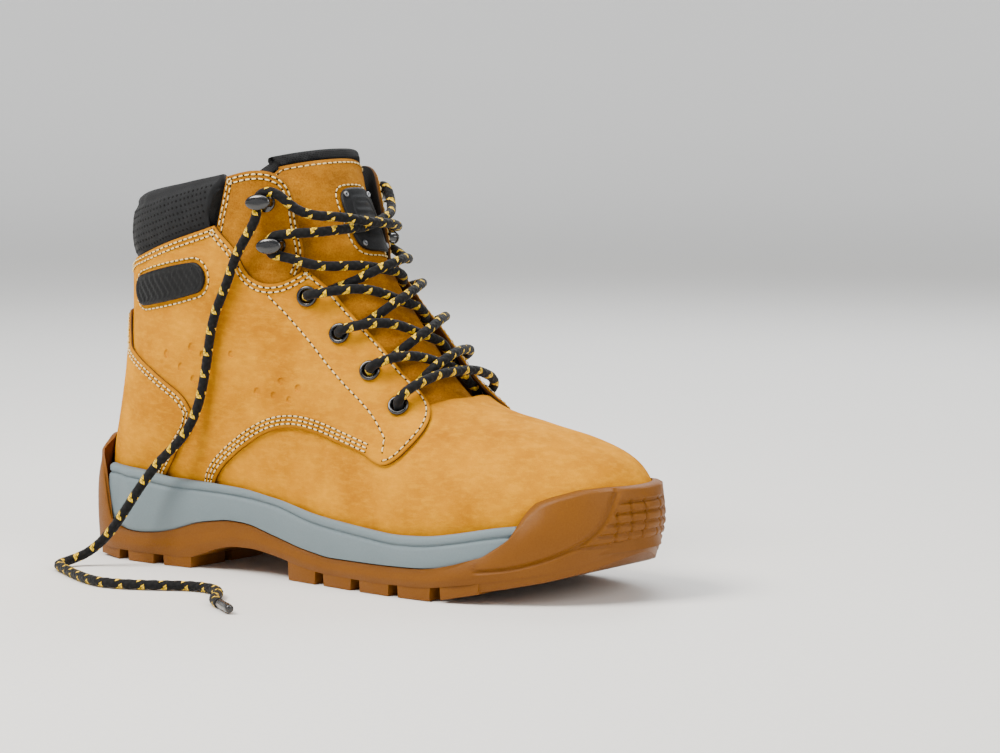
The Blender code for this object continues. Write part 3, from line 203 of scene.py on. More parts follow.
def make_base():
    """The base surface's points and outward normals on a fine grid of rows and columns."""
    rows, spots = np.arange(0.15, 16.001, 0.05), np.linspace(-1, 1, 321)
    shape = spline(np.arange(len(SHAPE)), SHAPE, rows)
    points = []
    for r in shape:
        p, y, arc = section(r)
        p, y = np.interp(np.abs(spots), arc, p), np.interp(np.abs(spots), arc, y)
        x, z = r[0] * (1 + p) / 2 + r[2] * (1 - p) / 2, r[1] * (1 + p) / 2 + r[3] * (1 - p) / 2
        points.append(np.stack([x, r[5] + np.sign(spots) * y, z], -1))
    points = np.array(points)
    ring = np.concatenate((points[:, -3:-1], points, points[:, 1:3]), 1)
    across = ring[:, 4:] - ring[:, :-4]
    normals = unit(np.cross(np.gradient(points, axis=0), across))
    middle = points.mean(1, keepdims=True)
    normals *= np.sign(((points - middle) * normals).sum((1, 2), keepdims=True))
    return rows, spots, points, normals


ROWS, SPOTS, POINTS, NORMALS = make_base()


def locate(s, u, distance=0.0):
    """Point and normal of the base surface at (s, u), moved out by a distance or a rule of (s, u)."""
    s, u = np.broadcast_arrays(np.mod(np.asarray(s, float) + 1, 2) - 1, np.asarray(u, float))
    a = np.clip((s - SPOTS[0]) / (SPOTS[1] - SPOTS[0]), 0, len(SPOTS) - 1.0001)
    b = np.clip((u - ROWS[0]) / (ROWS[1] - ROWS[0]), 0, len(ROWS) - 1.0001)
    j, i = a.astype(int), b.astype(int)
    a, b = (a - j)[..., None], (b - i)[..., None]
    out = []
    for grid in (POINTS, NORMALS):
        out.append((grid[i, j] * (1 - a) + grid[i, j + 1] * a) * (1 - b)
                   + (grid[i + 1, j] * (1 - a) + grid[i + 1, j + 1] * a) * b)
    far = distance(s, u) if callable(distance) else distance
    normal = unit(out[1])
    return out[0] + normal * np.broadcast_to(np.asarray(far, float), s.shape)[..., None], normal


def chart(x, z, side=-1.0):
    """(s, u) of the base surface at (x, z) in side view."""
    front, back = FINE_SHAPE[:, 0:2], FINE_SHAPE[:, 2:4]
    along, to = front - back, np.array([x, z]) - back
    cross = along[:, 0] * to[:, 1] - along[:, 1] * to[:, 0]
    p = 2 * (to * along).sum(1) / np.maximum((along**2).sum(1), 1e-9) - 1
    nearest = back + along * ((np.clip(p, -1, 1) + 1) / 2)[:, None]
    k = int(np.argmin(((nearest - (x, z)) ** 2).sum(1)))
    k = min(k if k + 1 < len(FINE) and cross[k] * cross[k + 1] <= 0 else max(k - 1, 0), len(FINE) - 2)
    t = cross[k] / (cross[k] - cross[k + 1]) if cross[k] * cross[k + 1] < 0 else 0.5
    row = FINE_SHAPE[k] * (1 - t) + FINE_SHAPE[k + 1] * t
    ps, _, arc = section(row)
    here = np.clip(p[k] * (1 - t) + p[k + 1] * t, -1, 1)
    return side * float(np.interp(-here, -ps, arc)), FINE[k] + t * (FINE[k + 1] - FINE[k])


def side_path(points, side=-1.0):
    return [chart(x, z, side) for x, z in points]


def mirrored(path):
    return [(-s, u) for s, u in path]


def both_sides(path):
    return list(path) + mirrored(path)[::-1]


def around_heel(path):
    return list(path) + [(-2 - s, u) for s, u in path[::-1]]


def to_chart(s, u, move):
    """The (s, u) steps that move points on the surface by these vectors."""
    ds = (locate(s + 0.004, u)[0] - locate(s - 0.004, u)[0]) / 0.008
    du = (locate(s, u + 0.05)[0] - locate(s, u - 0.05)[0]) / 0.1
    a, b, c = (ds * ds).sum(-1), (ds * du).sum(-1), (du * du).sum(-1)
    p, q = (move * ds).sum(-1), (move * du).sum(-1)
    det = np.maximum(a * c - b * b, 1e-9)
    return (c * p - b * q) / det, (a * q - b * p) / det


def sampled(path, step, closed=False, corner=38.0):
    """Points about a step apart along a path in (s, u): a spline between its sharp corners."""
    path = np.array(path, float)
    if closed and np.allclose(path[0], path[-1]):
        path = path[:-1]
    spots = locate(path[:, 0], path[:, 1])[0]
    count = len(path)
    before, after = spots - np.roll(spots, 1, 0), np.roll(spots, -1, 0) - spots
    turn = np.degrees(np.arccos(np.clip((unit(before) * unit(after)).sum(1), -1, 1)))
    sharp = [k for k in range(count) if turn[k] > corner and (closed or 0 < k < count - 1)]
    if closed:
        sharp = sharp or [0]
        runs = [(a, b if b > a else b + count) for a, b in zip(sharp, sharp[1:] + [sharp[0] + count])]
    else:
        marks = [0] + sharp + [count - 1]
        runs = list(zip(marks, marks[1:]))
    found = []
    for a, b in runs:
        index = np.arange(a, b + 1) % count
        piece, at = path[index], spots[index]
        if closed and len(sharp) == 1 and turn[sharp[0]] <= corner:
            index = np.arange(a - 3, b + 4) % count
            piece, at = path[index], spots[index]
        knots = np.concatenate(([0], np.cumsum(np.maximum(np.linalg.norm(np.diff(at, axis=0), axis=1), 1e-6))))
        low, high = (knots[3], knots[-4]) if len(piece) > b - a + 1 else (0, knots[-1])
        number = max(int(round((high - low) / step)), 1)
        found.append(spline(knots, piece, np.linspace(low, high, number + 1))[:-1])
    if not closed:
        found.append(path[-1:])
    return np.concatenate(found)


def shifted(path, inset, closed=False):
    """The path moved sideways over the surface, to its left as it runs when seen from outside."""
    path = np.asarray(path, float)
    points, normals = locate(path[:, 0], path[:, 1])
    if closed:
        run = np.roll(points, -1, 0) - np.roll(points, 1, 0)
    else:
        run = np.gradient(points, axis=0)
    left = unit(np.cross(normals, unit(run)))
    ds, du = to_chart(path[:, 0], path[:, 1], left * inset)
    return path + np.stack([ds, du], 1)


def turned_left(path):
    """Whether a closed path's left side is its inside."""
    path = np.asarray(path, float)
    s, u = path.mean(0)
    points = locate(path[:, 0], path[:, 1])[0]
    normal = locate(s, u)[1]
    area = np.cross(points - points.mean(0), np.roll(points, -1, 0) - points.mean(0)).sum(0)
    return area.dot(normal) > 0


def inside(polygon, spots):
    polygon, spots = np.asarray(polygon), np.asarray(spots)
    hit = np.zeros(len(spots), bool)
    for a, b in zip(polygon, np.roll(polygon, -1, 0)):
        crosses = (a[1] > spots[:, 1]) != (b[1] > spots[:, 1])
        with np.errstate(divide="ignore", invalid="ignore"):
            x = (b[0] - a[0]) * (spots[:, 1] - a[1]) / (b[1] - a[1]) + a[0]
        hit ^= crosses & (spots[:, 0] < x)
    return hit


# ---- meshes -------------------------------------------------------------------------------
def made(name, points, faces, looks, body, replaces=(), slot=None, sharp=None, marks=None, uv=None):
    """A mesh object from points in millimetres that rides on a CAD body."""
    mesh = bpy.data.meshes.new(name)
    mesh.from_pydata([tuple(p) for p in (np.asarray(points) + CENTRE) * MM], [],
                     [tuple(int(i) for i in f) for f in faces])
    for look in looks if isinstance(looks, (list, tuple)) else [looks]:
        mesh.materials.append(look)
    if marks is not None:
        mesh.polygons.foreach_set("material_index", np.asarray(marks, np.int32))
    if uv is not None:
        layer = mesh.uv_layers.new(name="UVMap")
        loops = np.empty(len(mesh.loops), np.int32)
        mesh.loops.foreach_get("vertex_index", loops)
        layer.data.foreach_set("uv", np.asarray(uv, np.float32)[loops].ravel() if len(uv) == len(points)
                               else np.asarray(uv, np.float32).ravel())
    mesh.shade_smooth()
    if sharp:
        mesh.set_sharp_from_angle(angle=math.radians(sharp))
    thing = bpy.data.objects.new(name, mesh)
    bpy.context.scene.collection.objects.link(thing)
    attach(thing, body)
    if replaces:
        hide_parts(*([replaces] if isinstance(replaces, str) else replaces))
    return thing


def turn_outwards(mesh):
    """Makes a closed mesh's faces point outwards."""
    shape = bmesh.new()
    shape.from_mesh(mesh)
    bmesh.ops.recalc_face_normals(shape, faces=shape.faces)
    shape.to_mesh(mesh)
    shape.free()


# Rings of mesh round an embossed dot, in mm from its middle; the dot itself is DENT_RADIUS wide.
DENT_RINGS, DENT_SIDES, DENT_CLEAR = (0.7, 1.45, 1.8, 2.4), 14, 3.2
DENT_RADIUS, DENT_DEPTH = 1.6, 0.6
EDGE_RINGS = ((0.0, 0.55), (0.3, 0.2), (0.75, 0.03), (1.5, 0.0))  # distance in from the edge, drop


def panel(name, outline, faces_at, looks, body="shell", replaces=(), slot=None, holes=(), step=2.6, relief=None,
          sharp=50, dents=()):
    """A layer over an outline in (s, u), with a rounded cut edge. The second look is the cut edge's."""
    loop = sampled(outline, 1.6, closed=True)
    if not turned_left(loop):
        loop = loop[::-1]
    square = np.array([S_LENGTH, U_LENGTH])
    places, edges, drops = [], [], []
    for inset, drop in EDGE_RINGS:
        ring = loop if inset == 0 else shifted(loop, inset, closed=True)
        start = len(places)
        places += [tuple(p) for p in ring * square]
        drops += [drop] * len(ring)
        if inset in (EDGE_RINGS[0][0], EDGE_RINGS[-1][0]):
            edges += [(start + k, start + (k + 1) % len(ring)) for k in range(len(ring))]
    rim = np.array(places[: len(loop)])
    for hole in holes:
        ring = np.asarray(hole)
        for inset, drop in ((0.0, 0.35), (-0.5, 0.0)):
            around = ring if inset == 0 else shifted(ring, inset if turned_left(ring) else -inset, closed=True)
            start = len(places)
            places += [tuple(p) for p in around * square]
            drops += [drop] * len(ring)
            if inset == 0.0:
                edges += [(start + k, start + (k + 1) % len(ring)) for k in range(len(ring))]
    low, high = rim.min(0), rim.max(0)
    grid = np.stack(np.meshgrid(np.arange(low[0], high[0], step), np.arange(low[1], high[1], step)), -1)
    grid[1::2, :, 0] += step / 2
    grid = grid.reshape(-1, 2)
    grid = grid[inside(rim, grid)]
    taken = np.array(places)
    near = np.array([np.min(((taken - g) ** 2).sum(1)) for g in grid]) if len(grid) else np.zeros(0)
    grid = grid[near > (0.55 * step) ** 2]
    for s, u in dents:
        grid = grid[((grid - np.array([s, u]) * square) ** 2).sum(1) > DENT_CLEAR**2]
        places += [tuple(np.array(p) * square) for r in DENT_RINGS for p in round_hole(s, u, r, DENT_SIDES)]
        places.append((s * S_LENGTH, u * U_LENGTH))
        drops += [0.0] * (len(DENT_RINGS) * DENT_SIDES + 1)
    places += [tuple(p) for p in grid]
    drops += [0.0] * len(grid)
    verts, _, tris, origin, _, _ = delaunay_2d_cdt(places, edges, [], 0, 1e-6)
    verts, tris = np.array([tuple(v) for v in verts]), np.array(tris)
    drop = np.array([max([drops[i] for i in o] or [0.0]) for o in origin])
    keep = inside(rim, verts[tris].mean(1))
    for hole in holes:
        keep &= ~inside(np.asarray(hole) * square, verts[tris].mean(1))
    tris = tris[keep]
    used, index = np.unique(tris, return_inverse=True)
    tris, (s, u), drop = index.reshape(tris.shape), (verts[used] / square).T, drop[used]
    outer, normal = locate(s, u, faces_at[0])
    if relief is not None:
        drop = drop - relief(s, u, outer)
    outer = outer - normal * drop[:, None]
    inner = locate(s, u, faces_at[1])[0]
    count, faces = len(outer), [tuple(t) for t in tris] + [tuple(t[::-1] + len(outer)) for t in tris]
    pairs = {(t[k], t[(k + 1) % 3]) for t in tris for k in range(3)}
    walls = [(b, a, a + count, b + count) for a, b in pairs if (b, a) not in pairs]
    flat = np.cross(outer[tris[:, 1]] - outer[tris[:, 0]], outer[tris[:, 2]] - outer[tris[:, 0]])
    if (flat * normal[tris[:, 0]]).sum() < 0:
        faces, walls = [f[::-1] for f in faces], [w[::-1] for w in walls]
    back_look, edge_look = 2 if len(looks) > 2 else 0, min(len(looks) - 1, 1)
    marks = [0] * len(tris) + [back_look] * len(tris) + [edge_look] * len(walls)
    uv = np.concatenate((np.stack([s * S_LENGTH, u * U_LENGTH], 1),) * 2) * MM
    thing = made(name, np.concatenate((outer, inner)), faces + walls, looks, body, replaces, slot, sharp, marks, uv)
    border = locate(loop[:, 0], loop[:, 1])[0]
    base = locate(s, u)[0]
    far = np.sqrt([np.min(((border - p) ** 2).sum(1)) for p in base])
    edge = thing.data.attributes.new("edge", "FLOAT", "POINT")
    edge.data.foreach_set("value", np.tile(np.clip(1 - far / 2.2, 0, 1) ** 1.5, 2).astype(np.float32))
    return thing


def lofted(name, loops, looks, body, closed=False, caps=True, uv_scale=None, **more):
    """A mesh through loops of equal length. uv_scale gives (round, along) lengths for its UVs."""
    loops = [np.asarray(loop) for loop in loops]
    size, faces, uvs = len(loops[0]), [], []
    number = len(loops) if closed else len(loops) - 1
    gaps = [np.linalg.norm(b.mean(0) - a.mean(0)) for a, b in zip(loops, loops[1:])]
    lengths = np.concatenate(([0], np.cumsum(gaps)))
    for r in range(number):
        a, b = r * size, (r + 1) % len(loops) * size
        for k in range(size):
            n = (k + 1) % size
            faces.append((a + k, a + n, b + n, b + k))
            if uv_scale:
                v0, v1 = lengths[r], lengths[min(r + 1, len(loops) - 1)]
                uvs += [(k / size, v0), ((k + 1) / size, v0), ((k + 1) / size, v1), (k / size, v1)]
    if not closed and caps:
        faces += [tuple(range(size))[::-1], tuple(range((len(loops) - 1) * size, len(loops) * size))]
        if uv_scale:
            uvs += [(0.0, 0.0)] * size + [(0.0, lengths[-1])] * size
    points = np.concatenate(loops)
    corners = points[[f[0] for f in faces]], points[[f[1] for f in faces]], points[[f[2] for f in faces]]
    if (np.cross(corners[0] - points.mean(0), corners[1] - points.mean(0)) * (corners[2] - points.mean(0))).sum() < 0:
        faces = [f[::-1] for f in faces]
        if uv_scale:
            turned, at = [], 0
            for f in faces:
                turned += uvs[at : at + len(f)][::-1]
                at += len(f)
            uvs = turned
    uv = np.array(uvs) * uv_scale if uv_scale else None
    return made(name, points, faces, looks, body, uv=uv, **more)

# ---- materials ----------------------------------------------------------------------------
def linear(*srgb):
    return tuple((c / 255 / 12.92 if c <= 10 else ((c / 255 + 0.055) / 1.055) ** 2.4) for c in srgb)


def node(tree, kind, inputs=(), out=0, **settings):
    """Adds a node and gives one of its outputs. An input is a number, a colour or another output."""
    made_node = tree.nodes.new("ShaderNode" + kind)
    for key, value in settings.items():
        setattr(made_node, key, value)
    for key, value in dict(inputs).items():
        if isinstance(value, bpy.types.NodeSocket):
            tree.links.new(value, made_node.inputs[key])
        else:
            made_node.inputs[key].default_value = value
    return made_node.outputs[out]


def mix(tree, share, a, b, blend_type="MIX"):
    a, b = ((*v, 1.0) if isinstance(v, tuple) and len(v) == 3 else v for v in (a, b))
    return node(tree, "Mix", {0: share, 6: a, 7: b}, 2, data_type="RGBA", blend_type=blend_type)


def ranged(tree, value, low, high, to_low=0.0, to_high=1.0):
    return node(tree, "MapRange", {"Value": value, 1: low, 2: high, 3: to_low, 4: to_high})


def noise(tree, where, scale, detail=2.0, rough=0.5):
    return node(tree, "TexNoise", {"Vector": where, "Scale": scale, "Detail": detail, "Roughness": rough})


def maths(tree, kind, a, b=0.0):
    return node(tree, "Math", {0: a, 1: b}, operation=kind)


def material(name, build, roughness=0.8, **sockets):
    """A material whose build(tree, place) gives its colour, height and, if it varies, roughness."""
    look = bpy.data.materials.new(name)
    look.use_nodes = True
    tree = look.node_tree
    shader = tree.nodes["Principled BSDF"]
    shader.inputs["Roughness"].default_value = roughness
    shader.inputs["Specular IOR Level"].default_value = 0.2
    for key, value in sockets.items():
        shader.inputs[key.replace("_", " ")].default_value = value
    place = node(tree, "TexCoord", out="Object")
    colour, height, strength, depth, *rough = build(tree, place)
    tree.links.new(colour, shader.inputs["Base Color"])
    if height is not None:
        tree.links.new(node(tree, "Bump", {"Strength": strength, "Distance": depth, "Height": height}),
                       shader.inputs["Normal"])
    if rough:
        tree.links.new(rough[0], shader.inputs["Roughness"])
    return look


def leather(dark, base, light, grain, fuzz, edge_colour):
    """Nubuck or suede: brushed patches, fine nap and a darker line near cut edges."""
    def build(tree, place):
        patches = noise(tree, place, 38.0, 4.0, 0.6)
        brushed = noise(tree, node(tree, "Mapping", {"Vector": place, "Scale": (1.0, 1.0, 2.6)}), 190.0, 3.0, 0.62)
        nap = noise(tree, place, grain, 3.0, 0.7)
        pores = node(tree, "TexVoronoi", {"Vector": place, "Scale": grain * 0.75})
        colour = mix(tree, ranged(tree, patches, 0.34, 0.68), dark, base)
        colour = mix(tree, ranged(tree, brushed, 0.45, 0.8, 0.0, 0.4), colour, light)
        colour = mix(tree, ranged(tree, nap, 0.35, 0.7, 0.0, fuzz), colour, dark, "MULTIPLY")
        colour = mix(tree, ranged(tree, pores, 0.0, 0.16, 0.22, 0.0), colour, edge_colour)
        edge = node(tree, "Attribute", out="Fac", attribute_name="edge")
        worn = maths(tree, "MULTIPLY", edge, ranged(tree, brushed, 0.3, 0.65, 0.25, 0.75))
        colour = mix(tree, worn, colour, edge_colour)
        height = maths(tree, "ADD", maths(tree, "MULTIPLY", nap, 0.7), maths(tree, "MULTIPLY", brushed, 0.35))
        rough = ranged(tree, brushed, 0.35, 0.7, 0.96, 0.8)
        return colour, height, 0.5, 0.00035, rough
    return build


def dotted(base, dark, pitch, stagger, radius, weave, depth=0.0005):
    """Cloth with rows of small holes painted near-black as painted shade, and darker low spots in the weave as
    painted shade; its UVs are metres on the cloth.
    """
    def build(tree, place):
        uv = node(tree, "TexCoord", out="UV")
        x, y = (node(tree, "SeparateXYZ", {0: uv}, k) for k in (0, 1))
        row = maths(tree, "DIVIDE", y, pitch[1])
        odd = maths(tree, "MODULO", maths(tree, "FLOOR", row), 2.0)
        column = maths(tree, "ADD", maths(tree, "DIVIDE", x, pitch[0]), maths(tree, "MULTIPLY", odd, stagger))
        a = maths(tree, "MULTIPLY", maths(tree, "SUBTRACT", maths(tree, "FRACT", column), 0.5), pitch[0])
        b = maths(tree, "MULTIPLY", maths(tree, "SUBTRACT", maths(tree, "FRACT", row), 0.5), pitch[1])
        far = maths(tree, "SQRT", maths(tree, "ADD", maths(tree, "MULTIPLY", a, a), maths(tree, "MULTIPLY", b, b)))
        solid = ranged(tree, far, radius * 0.75, radius * 1.15)
        fine = noise(tree, place, weave, 3.0, 0.7)
        broad = noise(tree, place, 55.0, 3.0)
        # Painted shade: the weave's low spots take the darker colour.
        colour = mix(tree, ranged(tree, fine, 0.3, 0.7), dark, base)
        colour = mix(tree, ranged(tree, broad, 0.35, 0.7, 0.0, 0.35), colour, tuple(min(c * 2.0, 1.0) for c in base))
        # Painted shade: the holes are coloured near-black.
        colour = mix(tree, solid, tuple(c * 0.25 for c in dark), colour)
        height = maths(tree, "ADD", solid, maths(tree, "MULTIPLY", fine, 0.35))
        return colour, height, 0.8, depth
    return build


def plain(base, dark, scale, spread=0.5, strength=0.3, depth=0.0002, broad=40.0, rough=None):
    """A moulded or worked surface: fine grain and broad mottling."""
    def build(tree, place):
        fine = noise(tree, place, scale, 3.0, 0.65)
        wide = noise(tree, place, broad, 4.0, 0.55)
        colour = mix(tree, ranged(tree, fine, 0.3, 0.7, 0.0, spread), base, dark)
        colour = mix(tree, ranged(tree, wide, 0.4, 0.75, 0.0, spread * 0.7), colour, dark)
        found = [colour, fine, strength, depth]
        if rough:
            found.append(ranged(tree, maths(tree, "ADD", fine, wide), 0.7, 1.3, *rough))
        return found
    return build


def moulded(base, dark, leaf_base, leaf_dark):
    """Gum rubber, darker and pebbled where the mesh's leaf attribute says, with painted shade in the pebbles' low
    spots.
    """
    def build(tree, place):
        leaf = node(tree, "Attribute", out="Fac", attribute_name="leaf")
        fine, pebble = noise(tree, place, 1500.0, 3.0, 0.65), noise(tree, place, 640.0, 2.0, 0.55)
        wide = noise(tree, place, 30.0, 4.0, 0.55)
        smooth = mix(tree, ranged(tree, fine, 0.3, 0.7, 0.0, 0.45), base, dark)
        smooth = mix(tree, ranged(tree, wide, 0.4, 0.75, 0.0, 0.35), smooth, dark)
        # Painted shade: the pebbles' low spots take the darker leaf colour.
        rough = mix(tree, ranged(tree, pebble, 0.35, 0.65), leaf_dark, leaf_base)
        colour = mix(tree, leaf, smooth, rough)
        raised = maths(tree, "MULTIPLY", ranged(tree, pebble, 0.35, 0.65), leaf)
        height = maths(tree, "ADD", raised, maths(tree, "MULTIPLY", fine, 0.12))
        return colour, height, 1.0, 0.0009, ranged(tree, maths(tree, "ADD", fine, wide), 0.7, 1.3, 0.42, 0.6)
    return build


def threads(base, dark, scale):
    def build(tree, place):
        twist = node(tree, "TexWave", {"Vector": place, "Scale": scale, "Distortion": 2.0, "Detail": 2.0},
                     "Fac", bands_direction="DIAGONAL")
        colour = mix(tree, ranged(tree, twist, 0.1, 0.9, 0.0, 0.6), base, dark)
        return colour, twist, 0.4, 0.0002
    return build


def braid(tree, place):
    """Round black lace: UV x runs once round it and UV y is metres along it, with yellow flecks in pairs and painted
    shade between the strands.
    """
    uv = node(tree, "TexCoord", out="UV")
    x, y = (node(tree, "SeparateXYZ", {0: uv}, k) for k in (0, 1))
    turn = maths(tree, "MULTIPLY", x, 8.0)
    along = maths(tree, "DIVIDE", y, 0.0017)
    left, right = (maths(tree, "PINGPONG", maths(tree, kind, turn, along), 1.0) for kind in ("ADD", "SUBTRACT"))
    strands = maths(tree, "MULTIPLY", left, right)
    fuzz = noise(tree, place, 4200.0, 2.0)
    # Painted shade: the gaps between the strands are darker.
    colour = mix(tree, ranged(tree, strands, 0.02, 0.6), (0.0008, 0.0008, 0.001), (0.0045, 0.0045, 0.0052))
    colour = mix(tree, ranged(tree, fuzz, 0.4, 0.75, 0.0, 0.35), colour, (0.011, 0.011, 0.012))
    for start, across in ((0.12, 0.0), (0.30, 0.1)):
        step = maths(tree, "FRACT", maths(tree, "SUBTRACT", maths(tree, "DIVIDE", y, 0.0102), start))
        slant = maths(tree, "FRACT", maths(tree, "ADD", maths(tree, "MULTIPLY", x, 2.0),
                                           maths(tree, "ADD", maths(tree, "DIVIDE", y, 0.0102), across)))
        near = maths(tree, "MULTIPLY", maths(tree, "LESS_THAN", step, 0.16),
                     maths(tree, "LESS_THAN", maths(tree, "ABSOLUTE", maths(tree, "SUBTRACT", slant, 0.5)), 0.23))
        # Painted shade: the flecks fade where they dip between the strands.
        colour = mix(tree, maths(tree, "MULTIPLY", near, ranged(tree, strands, 0.0, 0.3, 0.35, 1.0)), colour,
                     (1.0, 0.62, 0.003))
    return colour, maths(tree, "ADD", strands, maths(tree, "MULTIPLY", fuzz, 0.3)), 0.55, 0.0004


NUBUCK = material("nubuck", leather((0.46, 0.17, 0.0008), (0.68, 0.285, 0.0012), (0.88, 0.44, 0.006), 2300.0,
                                    0.2, (0.20, 0.07, 0.004)),
                  Specular_IOR_Level=0.06)
SUEDE = material("suede", leather((0.27, 0.10, 0.003), (0.45, 0.18, 0.005), (0.60, 0.28, 0.015), 1300.0, 0.5,
                                  (0.17, 0.065, 0.008)),
                 Specular_IOR_Level=0.06, Sheen_Weight=0.04, Sheen_Roughness=0.6, Sheen_Tint=(1.0, 0.6, 0.25, 1.0))
CUT = material("cut_edge", plain((0.11, 0.045, 0.008), (0.035, 0.014, 0.004), 1700.0, 0.8, 0.5))
FLESH = material("leather_back", plain((0.30, 0.15, 0.03), (0.16, 0.075, 0.014), 1300.0, 0.7, 0.5))
THREAD = material("thread", threads((0.93, 0.76, 0.36), (0.58, 0.37, 0.10), 900.0), 0.7)
# Painted shade: the needle holes are coloured dark brown.
HOLE = material("needle_hole", plain(linear(46, 28, 14), linear(24, 14, 8), 1500.0))
COLLAR = material("collar_cloth", plain((0.0125, 0.0135, 0.0155), (0.0055, 0.006, 0.007), 2600.0, 0.7, 0.6,
                                        0.0003, 55.0), 0.75, Sheen_Weight=0.03)
# Painted shade: the punched holes are coloured near-black.
PUNCHED_SHADE = material("collar_hole", plain((0.0012, 0.0012, 0.0014), (0.0006, 0.0006, 0.0007), 2000.0))
MESH = material("mesh_cloth", dotted((0.013, 0.0135, 0.015), (0.005, 0.0052, 0.006), (0.0013, 0.0011), 0.5,
                                     0.00036, 3000.0, 0.0004), 0.9, Sheen_Weight=0.04)
FOOTBED = material("footbed_cloth", dotted((0.024, 0.026, 0.03), (0.011, 0.012, 0.014), (0.0014, 0.0013),
                                           0.5, 0.0003, 2600.0, 0.0003), 0.95, Sheen_Weight=0.05)
RUBBER = material("rubber_sole", moulded((0.19, 0.066, 0.0035), (0.12, 0.039, 0.002), (0.125, 0.041, 0.0025),
                                         (0.06, 0.019, 0.0015)))
MIDSOLE = material("midsole_foam", plain((0.165, 0.212, 0.232), (0.122, 0.158, 0.176), 1400.0, 0.3, 0.22,
                                         0.00012, 26.0, (0.55, 0.7)))
ENAMEL = material("black_enamel", plain((0.0022, 0.0024, 0.0032), (0.006, 0.0064, 0.008), 700.0, 0.5, 0.12,
                                        0.0001, 60.0, (0.14, 0.3)), Coat_Weight=0.6, Coat_Roughness=0.12,
                  Specular_IOR_Level=0.5)
BADGE = material("black_rubber", plain((0.0085, 0.009, 0.01), (0.0035, 0.0036, 0.004), 1400.0, 0.7, 0.35,
                                       0.0002, 60.0, (0.42, 0.6)))
FOAM = material("padding", plain((0.03, 0.03, 0.029), (0.012, 0.012, 0.012), 1500.0, 0.9, 0.8, 0.0006))
BOARD = material("board", plain(linear(168, 144, 108), linear(128, 104, 74), 1800.0, 0.7, 0.4))
STEEL = material("plate_steel", plain(linear(170, 172, 176), linear(128, 130, 134), 900.0, 0.5, 0.15, 0.0001,
                                      60.0, (0.25, 0.45)), Metallic=1.0)
LACE = material("lace_braid", braid, 0.8, Sheen_Weight=0.06)
AGLET = material("aglet_plastic", plain((0.004, 0.004, 0.0045), (0.011, 0.011, 0.012), 900.0, 0.5, 0.1,
                                        0.0001, 80.0, (0.2, 0.35)), Coat_Weight=0.4, Specular_IOR_Level=0.5)
FLOOR = material("floor", plain(linear(236, 235, 232), linear(228, 227, 224), 260.0, 0.4, 0.05, 0.0001, 3.0))


def lit_far_off(look):
    """Lets the floor glow faintly beyond the lamps' reach, so that the backdrop stays pale."""
    tree = look.node_tree
    place = node(tree, "TexCoord", out="Object")
    flat = node(tree, "VectorMath", {0: place, 1: (1.0, 1.0, 0.0)}, operation="MULTIPLY")
    far = node(tree, "VectorMath", {0: flat}, 1, operation="LENGTH")
    shader = tree.nodes["Principled BSDF"]
    shader.inputs["Emission Color"].default_value = (0.97, 0.98, 1.0, 1.0)
    tree.links.new(ranged(tree, far, 0.7, 4.6, 0.0, 0.42), shader.inputs["Emission Strength"])


lit_far_off(FLOOR)

# ---- floor and light ----------------------------------------------------------------------
# The floor's radius and height in metres, ring by ring: flat, then rising like a bowl behind any camera.
FLOOR_RINGS = (
    (0.6, 0.0), (1.5, 0.0), (3.2, 0.0), (3.8, 0.02), (4.3, 0.1), (4.7, 0.28), (4.95, 0.6), (5.05, 1.0), (5.1, 1.6),
)
FLOOR_SIDES = 96
# Name, azimuth and elevation in degrees, distance and size in metres, watts, colour.
LAMPS = (
    ("key", -24, 52, 1.5, 0.7, 36, (1.0, 0.95, 0.88)),
    ("front", 84, 30, 1.7, 0.8, 13, (1.0, 0.97, 0.93)),
    ("back", 200, 40, 1.6, 0.9, 14, (0.93, 0.96, 1.0)),
    ("top", 20, 85, 1.6, 1.0, 14, (1.0, 0.99, 0.97)),
)
LAMPS_AIM = (0, 0, 0.08)


def add_stage():
    mesh = bpy.data.meshes.new("floor")
    rings, count = FLOOR_RINGS, FLOOR_SIDES
    turns = np.arange(count) * 2 * math.pi / count
    points = [(r * math.cos(t), r * math.sin(t), h - 0.0002) for r, h in rings for t in turns]
    faces = [tuple(range(count))]
    for k in range(len(rings) - 1):
        for n in range(count):
            a, b = k * count + n, k * count + (n + 1) % count
            faces.append((a, a + count, b + count, b))
    mesh.from_pydata(points, [], faces)
    mesh.shade_smooth()
    mesh.materials.append(FLOOR)
    floor = bpy.data.objects.new("floor", mesh)
    bpy.context.scene.collection.objects.link(floor)
    world = bpy.data.worlds.new("world")
    world.use_nodes = True
    world.node_tree.nodes["Background"].inputs[0].default_value = (0.95, 0.975, 1.0, 1)
    world.node_tree.nodes["Background"].inputs[1].default_value = 0.42
    bpy.context.scene.world = world
    for name, turn, rise, far, size, power, tint in LAMPS:
        lamp = bpy.data.lights.new(name, "AREA")
        lamp.size, lamp.energy, lamp.color = size, power, tint
        thing = bpy.data.objects.new(name, lamp)
        a, e = math.radians(turn), math.radians(rise)
        way = Vector((math.sin(a) * math.cos(e), -math.cos(a) * math.cos(e), math.sin(e)))
        thing.location = Vector(LAMPS_AIM) + way * far
        thing.rotation_euler = (-way).to_track_quat("-Z", "Y").to_euler()
        bpy.context.scene.collection.objects.link(thing)


add_stage()

